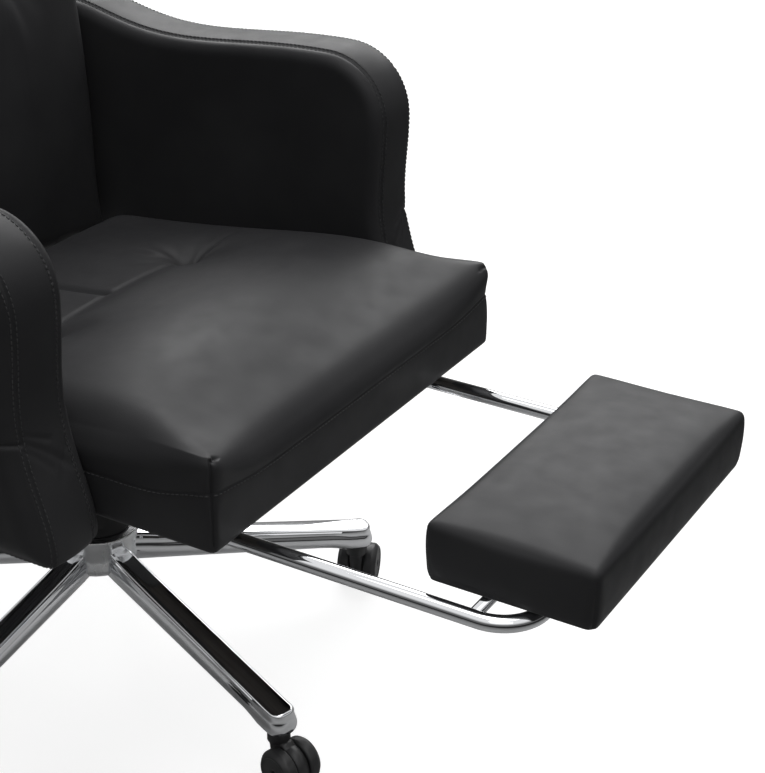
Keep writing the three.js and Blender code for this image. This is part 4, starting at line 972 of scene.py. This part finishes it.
# The hub's side from its foot up: how far out from its radius, and how far above its foot
HUB_SIDE = [(-0.004, 0.0), (-0.001, 0.006), (-0.003, 0.020), (0.0, 0.036), (0.004, 0.046), (0.003, 0.048)]
BORE_BEVEL, BORE_BEVEL_DEPTH = 0.004, 0.002
LEG_ABOVE_HUB_FOOT = 0.020
# The leg rises to the hub from CLIMB_START from the column, and deepens to its nose from
# DEEPER_START before the stem.
HUB_CLIMB, CLIMB_START, CLIMB_RUN = 0.0015, 0.075, 0.030
DEEPER_START, DEEPER_RUN = 0.034, 0.016
INNER_CORNER, LEG_POINTS, CORNER_POINTS, BEVEL_POINTS = 0.008, 30, 9, 7
CYLINDER_RADIUS, HUB_RADIUS = 0.0253, 0.044
# The leg's side from its foot up: how far in, and at which share of the height
LEG_SIDE = [(0.0040, 0.0), (0.0020, 0.05), (0.0009, 0.13), (0.0002, 0.22), (0.0, 0.30),
            (0.0004, 0.40), (0.0010, 0.50), (0.0018, 0.60), (0.0028, 0.70)]


def leg_plan(start, end, inset, corner):
    """The leg's outline from above, anticlockwise, with its end rounded."""
    def half(x):
        return between(LEG_WIDTHS[0], LEG_WIDTHS[1], np.minimum(x / LEG_RADIUS, 1)) / 2 - inset

    straight = between(start, end - corner, np.linspace(0, 1, LEG_POINTS))
    side = np.column_stack([straight, -half(straight)])
    turn = np.linspace(-math.pi / 2, 0, CORNER_POINTS)
    wide = half(end - corner)
    bend_points = np.column_stack([end - corner + corner * np.cos(turn),
                                   -wide + corner + corner * np.sin(turn)])
    lower = np.concatenate([side[:-1], bend_points])
    return np.concatenate([lower, lower[::-1] * np.array([1, -1])])


def leg_heights(x):
    """The heights of the leg's foot and top at each distance from the column."""
    share = np.clip(x / LEG_RADIUS, 0, 1)
    height = between(LEG_HEIGHTS[0], LEG_HEIGHTS[1], share)
    middle = between(HUB_LOW + LEG_ABOVE_HUB_FOOT, NOSE_BOTTOM + NOSE_HEIGHT - LEG_HEIGHTS[1] / 2, share)
    deeper = (NOSE_HEIGHT - LEG_HEIGHTS[1]) * smooth((x - LEG_RADIUS + DEEPER_START) / DEEPER_RUN)
    climb = HUB_CLIMB * smooth((CLIMB_START - x) / CLIMB_RUN)
    return middle - height / 2 - deeper, middle + height / 2 + climb


def leg_shape():
    """A leg of the star along X: a channel, open below, with a rounded top and a deeper nose."""
    rings = []
    for from_top in (True, False):
        plan = leg_plan(HUB_RADIUS, LEG_RADIUS - NOSE_RADIUS, LEG_WALL, INNER_CORNER)
        low, high = leg_heights(plan[:, 0])
        rings.append(np.column_stack([plan, high - LEG_WALL if from_top else low]))
    end = LEG_RADIUS + NOSE_RADIUS
    for inset, share in LEG_SIDE:
        plan = leg_plan(LEG_START, end - inset, inset, NOSE_CORNER - inset)
        low, high = leg_heights(plan[:, 0])
        rings.append(np.column_stack([plan, between(low, high, share)]))
    for t in np.linspace(math.pi / 8, math.pi / 2, BEVEL_POINTS):
        inset = LEG_SIDE[-1][0] + LEG_BEVEL * (1 - math.cos(t))
        plan = leg_plan(LEG_START, end - inset, inset, NOSE_CORNER - inset)
        _, high = leg_heights(plan[:, 0])
        rings.append(np.column_stack([plan, high - LEG_BEVEL * (1 - math.sin(t))]))
    return np.concatenate(rings), ring_faces(len(rings), len(rings[0]))


leg_points, leg_faces = leg_shape()
star = [(turned_about(leg_points, FIRST_LEG + 360 / LEG_COUNT * k, (0, COLUMN_Y)), leg_faces)
        for k in range(LEG_COUNT)]
piece("star_legs", *joined(star), chrome, "chrome", "base", "base_star")
hub = lathe(softened([
    (CYLINDER_RADIUS, HUB_LOW), *((HUB_RADIUS + out, HUB_LOW + up) for out, up in HUB_SIDE),
    (CYLINDER_RADIUS + BORE_BEVEL, HUB_HIGH), (CYLINDER_RADIUS, HUB_HIGH - BORE_BEVEL_DEPTH)],
    HUB_SOFTENING), HUB_SIDES)
on_column = moved_by(COLUMN_Y, 0)
piece("star_hub", on_column(hub[0]), hub[1], satin, "chrome", "base", "base_star")


# Covers of the column
COVER_SOFTENING, COVER_SIDES = 0.0012, 72
COVER_BORE, COVER_RADIUS = 0.0254, 0.0278
# The lower cover's flared foot, from the hub up: its radius, and its height above the hub
COVER_FLARE = [(0.0370, 0.0004), (0.0366, 0.0030), (0.0322, 0.0090), (0.0292, 0.0180),
               (COVER_RADIUS, 0.0300)]
UPPER_BORE, UPPER_RADIUS, UPPER_CAP, PISTON_HOLE = 0.0283, 0.0307, 0.0025, 0.0144


def about_column(name, profile, body, node):
    points, faces = lathe(softened(profile, COVER_SOFTENING), COVER_SIDES)
    return piece(name, on_column(points), faces, plastic, "plastic_black", body, node)


cover_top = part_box("cover_lower")[1].z
about_column("lower_cover", [
    (COVER_BORE, HUB_HIGH + COVER_FLARE[0][1]), *((r, HUB_HIGH + z) for r, z in COVER_FLARE),
    (COVER_RADIUS, cover_top), (COVER_BORE, cover_top)], "base", "cover_lower")
upper_low, upper_high = (corner.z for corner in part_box("cover_upper"))
about_column("upper_cover", [
    (UPPER_BORE, upper_low), (UPPER_RADIUS, upper_low), (UPPER_RADIUS, upper_high),
    (PISTON_HOLE, upper_high), (PISTON_HOLE, upper_high - UPPER_CAP),
    (UPPER_BORE, upper_high - UPPER_CAP)], "lift", "cover_upper")


# Casters
WHEEL_RADIUS, WHEEL_WIDTH, WHEEL_BORE, WHEEL_SIDES = 0.0246, 0.016, 0.0034, 72
TREAD_EDGE, TREAD_STEP, WHEEL_SOFTENING = 0.0026, 0.002, 0.0016
# The wheel's face from the tread inwards: how far in from the tread, and how far below the face
WHEEL_FACE = [(0.0, 0.0052), (0.0040, 0.0006), (0.0062, 0.0), (0.0074, 0.0012)]
WHEEL_BOSS, BOSS_DEPTH, BORE_DEPTH = 0.0060, 0.0004, 0.0012
TRAIL, AXLE_HEIGHT, RUN_GAP = 0.018, 0.02462, 0.0004
WEB_HALF, WEB_RADIUS, WEB_TOP, WEB_FRONT, WEB_REAR = 0.0075, 0.0222, 0.0262, 0.0275, 0.004
WEB_BEVEL, WEB_SOFTENING, WEB_ARC_POINTS = 0.0012, 0.002, 49
# How much smaller the web's two faces are than its middle
WEB_FACE_SCALE = 0.9
# The collar round the stem: its outline's radii and heights
COLLAR = [(0.0052, 0.0485), (0.0122, 0.0485), (0.0122, 0.0590), (0.0112, 0.0611), (0.0052, 0.0611)]
COLLAR_SOFTENING, COLLAR_SIDES = 0.0010, 48
# Each caster's turn on its stem, in degrees
CASTER_TURNS = [-106, 20, 40, 160, 50]


def wheel_shape(side):
    """A twin wheel's half, with a rounded tread and a dished face."""
    tread = WHEEL_RADIUS - TREAD_STEP
    profile = softened([
        (WHEEL_BORE, RUN_GAP), (tread, RUN_GAP), (WHEEL_RADIUS, TREAD_EDGE),
        *((WHEEL_RADIUS - inset, WHEEL_WIDTH - depth) for inset, depth in WHEEL_FACE),
        (WHEEL_BOSS, WHEEL_WIDTH - BOSS_DEPTH), (WHEEL_BORE, WHEEL_WIDTH - BORE_DEPTH)],
        WHEEL_SOFTENING)
    points, faces = lathe(profile, WHEEL_SIDES)
    points = np.column_stack([points[:, 0], side * points[:, 2], -side * points[:, 1]])
    return points + np.array([TRAIL, side * (WEB_HALF + RUN_GAP), AXLE_HEIGHT]), faces


def hood_shape():
    """The web between the wheels, an arched bar that reaches up to a collar round the stem."""
    turns = np.linspace(math.pi, math.pi * 2.5, WEB_ARC_POINTS)
    outline = [(WEB_RADIUS * math.cos(turn), WEB_RADIUS * math.sin(turn)) for turn in turns]
    outline += [(-WEB_REAR, WEB_TOP), (-WEB_FRONT, WEB_TOP)]
    outline = np.array(softened([(-x, z) for x, z in outline][::-1], WEB_SOFTENING))
    middle = np.mean(outline, axis=0)
    rings = []
    for y, scale in ((-WEB_HALF, WEB_FACE_SCALE), (-WEB_HALF + WEB_BEVEL, 1), (WEB_HALF - WEB_BEVEL, 1),
                     (WEB_HALF, WEB_FACE_SCALE)):
        x, z = (middle + (outline - middle) * scale).T
        rings.append(np.column_stack([TRAIL - x, np.full(len(x), y), AXLE_HEIGHT + z]))
    collar = lathe(softened(COLLAR, COLLAR_SOFTENING), COLLAR_SIDES)
    return joined([(np.concatenate(rings), ring_faces(len(rings), len(outline))), collar])


hood_points, hood_faces = hood_shape()
for k, swivel in enumerate(CASTER_TURNS):
    number = k + 1
    turn = math.radians(FIRST_LEG + 360 / LEG_COUNT * k)
    spot = (LEG_RADIUS * math.cos(turn), COLUMN_Y + LEG_RADIUS * math.sin(turn))
    piece(f"hood_{number}", turned_about(hood_points, swivel, spot), hood_faces, nylon, "nylon_black",
          f"caster_{number}", f"caster_hood_{number}")
    for letter, side in (("a", 1), ("b", -1)):
        points, faces = wheel_shape(side)
        piece(f"wheel_{number}{letter}", turned_about(points, swivel, spot),
              faces if side > 0 else flipped(faces), nylon, "nylon_black",
              f"wheel_{number}{letter}", f"caster_wheel_{number}{letter}")


# Footrest frame
TUBE_RADIUS, TUBE_HALF, TUBE_BEND, TUBE_Z = 0.008, 0.190, 0.042, 0.343
TUBE_SIDES, TUBE_BEND_POINTS, BAR_SIDES = 40, 17, 36
tube_low, tube_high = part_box("footrest_frame")
tube_front, tube_rear = tube_low.y + TUBE_RADIUS, tube_high.y
tube_middle = between(tube_rear, tube_front, 0.5)
tube_path = [(TUBE_HALF, tube_rear), (TUBE_HALF, tube_middle)]
for side, start in ((1, 0), (-1, 90)):
    for turn in np.radians(np.linspace(start, start + 90, TUBE_BEND_POINTS)):
        tube_path.append((side * (TUBE_HALF - TUBE_BEND) + TUBE_BEND * math.cos(turn),
                          tube_front + TUBE_BEND - TUBE_BEND * math.sin(turn)))
tube_path += [(-TUBE_HALF, tube_middle), (-TUBE_HALF, tube_rear)]
tube = sweep([(x, y, TUBE_Z) for x, y in tube_path], TUBE_RADIUS, TUBE_SIDES)
piece("frame_tube", *tube, chrome, "chrome", "footrest_slider", "footrest_frame")
bar_low, bar_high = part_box("footrest_cross_bar")
bar_middle = (bar_low + bar_high) / 2
bar = sweep([(x, bar_middle.y, bar_middle.z) for x in (bar_low.x, bar_high.x)],
            (bar_high.z - bar_low.z) / 2, BAR_SIDES)
piece("cross_bar", *bar, chrome, "chrome", "footrest_slider", "footrest_cross_bar")


# Finishes of the pieces that come from the solids
# Each finish goes to the solids whose names start so, and the first that fits counts.
FINISHES = {
    **dict.fromkeys(("height_lever_grip", "recline_lever_grip", "footrest_plug"), plastic),
    **dict.fromkeys(("seat_board", "back_board", "footrest_board"), plywood),
    "lift_piston": chrome,
    **dict.fromkeys(("lift_cylinder", "seat_mechanism", "height_lever", "recline_lever", "arm_bracket",
                     "hinge", "footrest_rail", "footrest_clip", "caster_stem", "caster_axle"), steel),
}
for name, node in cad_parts.items():
    finish = next((made for start, made in FINISHES.items() if name.startswith(start)), leather)
    node.data.materials.clear()
    node.data.materials.append(finish)


# Floor
FLOOR_HALF = 14.0
floor_mesh = bpy.data.meshes.new("floor")
floor_mesh.from_pydata([(-FLOOR_HALF, -FLOOR_HALF, 0), (FLOOR_HALF, -FLOOR_HALF, 0),
                        (FLOOR_HALF, FLOOR_HALF, 0), (-FLOOR_HALF, FLOOR_HALF, 0)], [], [(0, 1, 2, 3)])
floor = bpy.data.objects.new("floor", floor_mesh)
bpy.context.scene.collection.objects.link(floor)


def choose(tree, switch, off, on):
    """The on value where the switch is 1, and the off value where it is 0."""
    return node_with(tree, "ShaderNodeMix", {0: switch, 2: off, 3: on}).outputs[0]


def by_ray(tree, lighting, mirrored, seen):
    """A value for the rays that light the object, those that mirror in it, and the camera's."""
    rays = tree.nodes.new("ShaderNodeLightPath")
    value = choose(tree, rays.outputs["Is Glossy Ray"], lighting, mirrored)
    value = choose(tree, rays.outputs["Is Transmission Ray"], value, mirrored)
    return choose(tree, rays.outputs["Is Camera Ray"], value, seen)


FLOOR_SHADE = 0.42
FLOOR_NEAR_SHADE, FLOOR_FAR_SHADE = 0.58, 0.04
FLOOR_SEEN, FLOOR_SEEN_FAR = 0.84, 0.97
# From which distance and to which the floor's two values change
SHADE_FALL, SEEN_RISE = (0.5, 1.6), (1.5, 5.0)
paper = bpy.data.materials.new("white_floor")
paper.use_nodes = True
tree = paper.node_tree
tree.nodes.clear()
# Mirrored in the chrome, the floor is pale near the chair and darker beyond.
floor_place = tree.nodes.new("ShaderNodeTexCoord").outputs["Object"]
distance = node_with(tree, "ShaderNodeVectorMath", {0: floor_place})
distance.operation = "LENGTH"


def by_distance(near, far, start, end):
    return ranged(tree, distance.outputs["Value"], start, end, near, far)


mirrored_shade = by_distance(FLOOR_NEAR_SHADE, FLOOR_FAR_SHADE, *SHADE_FALL)
seen_glow = by_distance(FLOOR_SEEN, FLOOR_SEEN_FAR, *SEEN_RISE)
matt = node_with(tree, "ShaderNodeBsdfDiffuse", {
    "Color": by_ray(tree, FLOOR_SHADE, mirrored_shade, FLOOR_SHADE)})
glow = node_with(tree, "ShaderNodeEmission", {"Strength": by_ray(tree, 0.0, 0.0, seen_glow)})
both = node_with(tree, "ShaderNodeAddShader", {0: matt.outputs[0], 1: glow.outputs[0]})
node_with(tree, "ShaderNodeOutputMaterial", {"Surface": both.outputs[0]})
floor_mesh.materials.append(paper)

# World and lamps
scene = bpy.context.scene
world = bpy.data.worlds.new("white")
scene.world = world
world.use_nodes = True
tree = world.node_tree
sky = tree.nodes["Background"]
sky.inputs["Color"].default_value = (1, 1, 1, 1)
AMBIENT, HORIZON, OVERHEAD = 0.13, 0.12, 0.86
RISE_START, RISE_END = 0.22, 0.55
# Mirrored in the chrome, the studio is darker towards its horizon.
direction = tree.nodes.new("ShaderNodeTexCoord").outputs["Generated"]
parts = node_with(tree, "ShaderNodeSeparateXYZ", {0: direction})
rise = ranged(tree, parts.outputs["Z"], RISE_START, RISE_END, HORIZON, OVERHEAD)
tree.links.new(by_ray(tree, AMBIENT, rise, 1.0), sky.inputs["Strength"])


LAMP_AIM = (0, 0, 0.45)
# Each lamp's azimuth, elevation, distance, width, height and radiance
LAMPS = {
    "rear_panel": (62, 33, 3.2, 3.4, 2.2, 3.4),
    "top_panel": (200, 82, 2.6, 2.2, 2.2, 2.2),
    "front_panel": (235, 40, 3.6, 2.4, 1.8, 0.4),
}


def panel(name, azimuth, elevation, distance, width, height, radiance):
    """A soft lamp, as seen from the lamps' aim at an azimuth from +Y towards +X and an elevation."""
    lamp = bpy.data.lights.new(name, "AREA")
    lamp.shape = "RECTANGLE"
    lamp.size, lamp.size_y = width, height
    lamp.energy = radiance * math.pi * width * height
    made = bpy.data.objects.new(name, lamp)
    az, el = math.radians(azimuth), math.radians(elevation)
    towards = Vector((math.sin(az) * math.cos(el), math.cos(az) * math.cos(el), math.sin(el)))
    made.location = Vector(LAMP_AIM) + towards * distance
    made.rotation_euler = towards.to_track_quat("Z", "Y").to_euler()
    scene.collection.objects.link(made)
    made.visible_camera = False


for lamp_name, values in LAMPS.items():
    panel(lamp_name, *values)

# Camera, as solved from the photo
PHOTO_WIDTH, PHOTO_HEIGHT = 765, 773
FOCAL_PIXELS = 1813.85
SENSOR = 36.0
CAMERA_PLACE = (-1.3556, -0.9976, 1.2104)
CAMERA_AZIMUTH, CAMERA_ELEVATION, CAMERA_ROLL = -60.177, 26.535, 0.964
lens = bpy.data.cameras.new("photo_camera")
lens.sensor_width = SENSOR
lens.lens = FOCAL_PIXELS / max(PHOTO_WIDTH, PHOTO_HEIGHT) * SENSOR
camera = bpy.data.objects.new("photo_camera", lens)
scene.collection.objects.link(camera)
turns = [(CAMERA_AZIMUTH, "Z"), (90 - CAMERA_ELEVATION, "X"), (CAMERA_ROLL, "Z")]
matrix = Matrix.Translation(CAMERA_PLACE)
for degrees, axis in turns:
    matrix = matrix @ Matrix.Rotation(math.radians(degrees), 4, axis)
camera.matrix_world = matrix
scene.camera = camera
scene.view_settings.view_transform = "Standard"
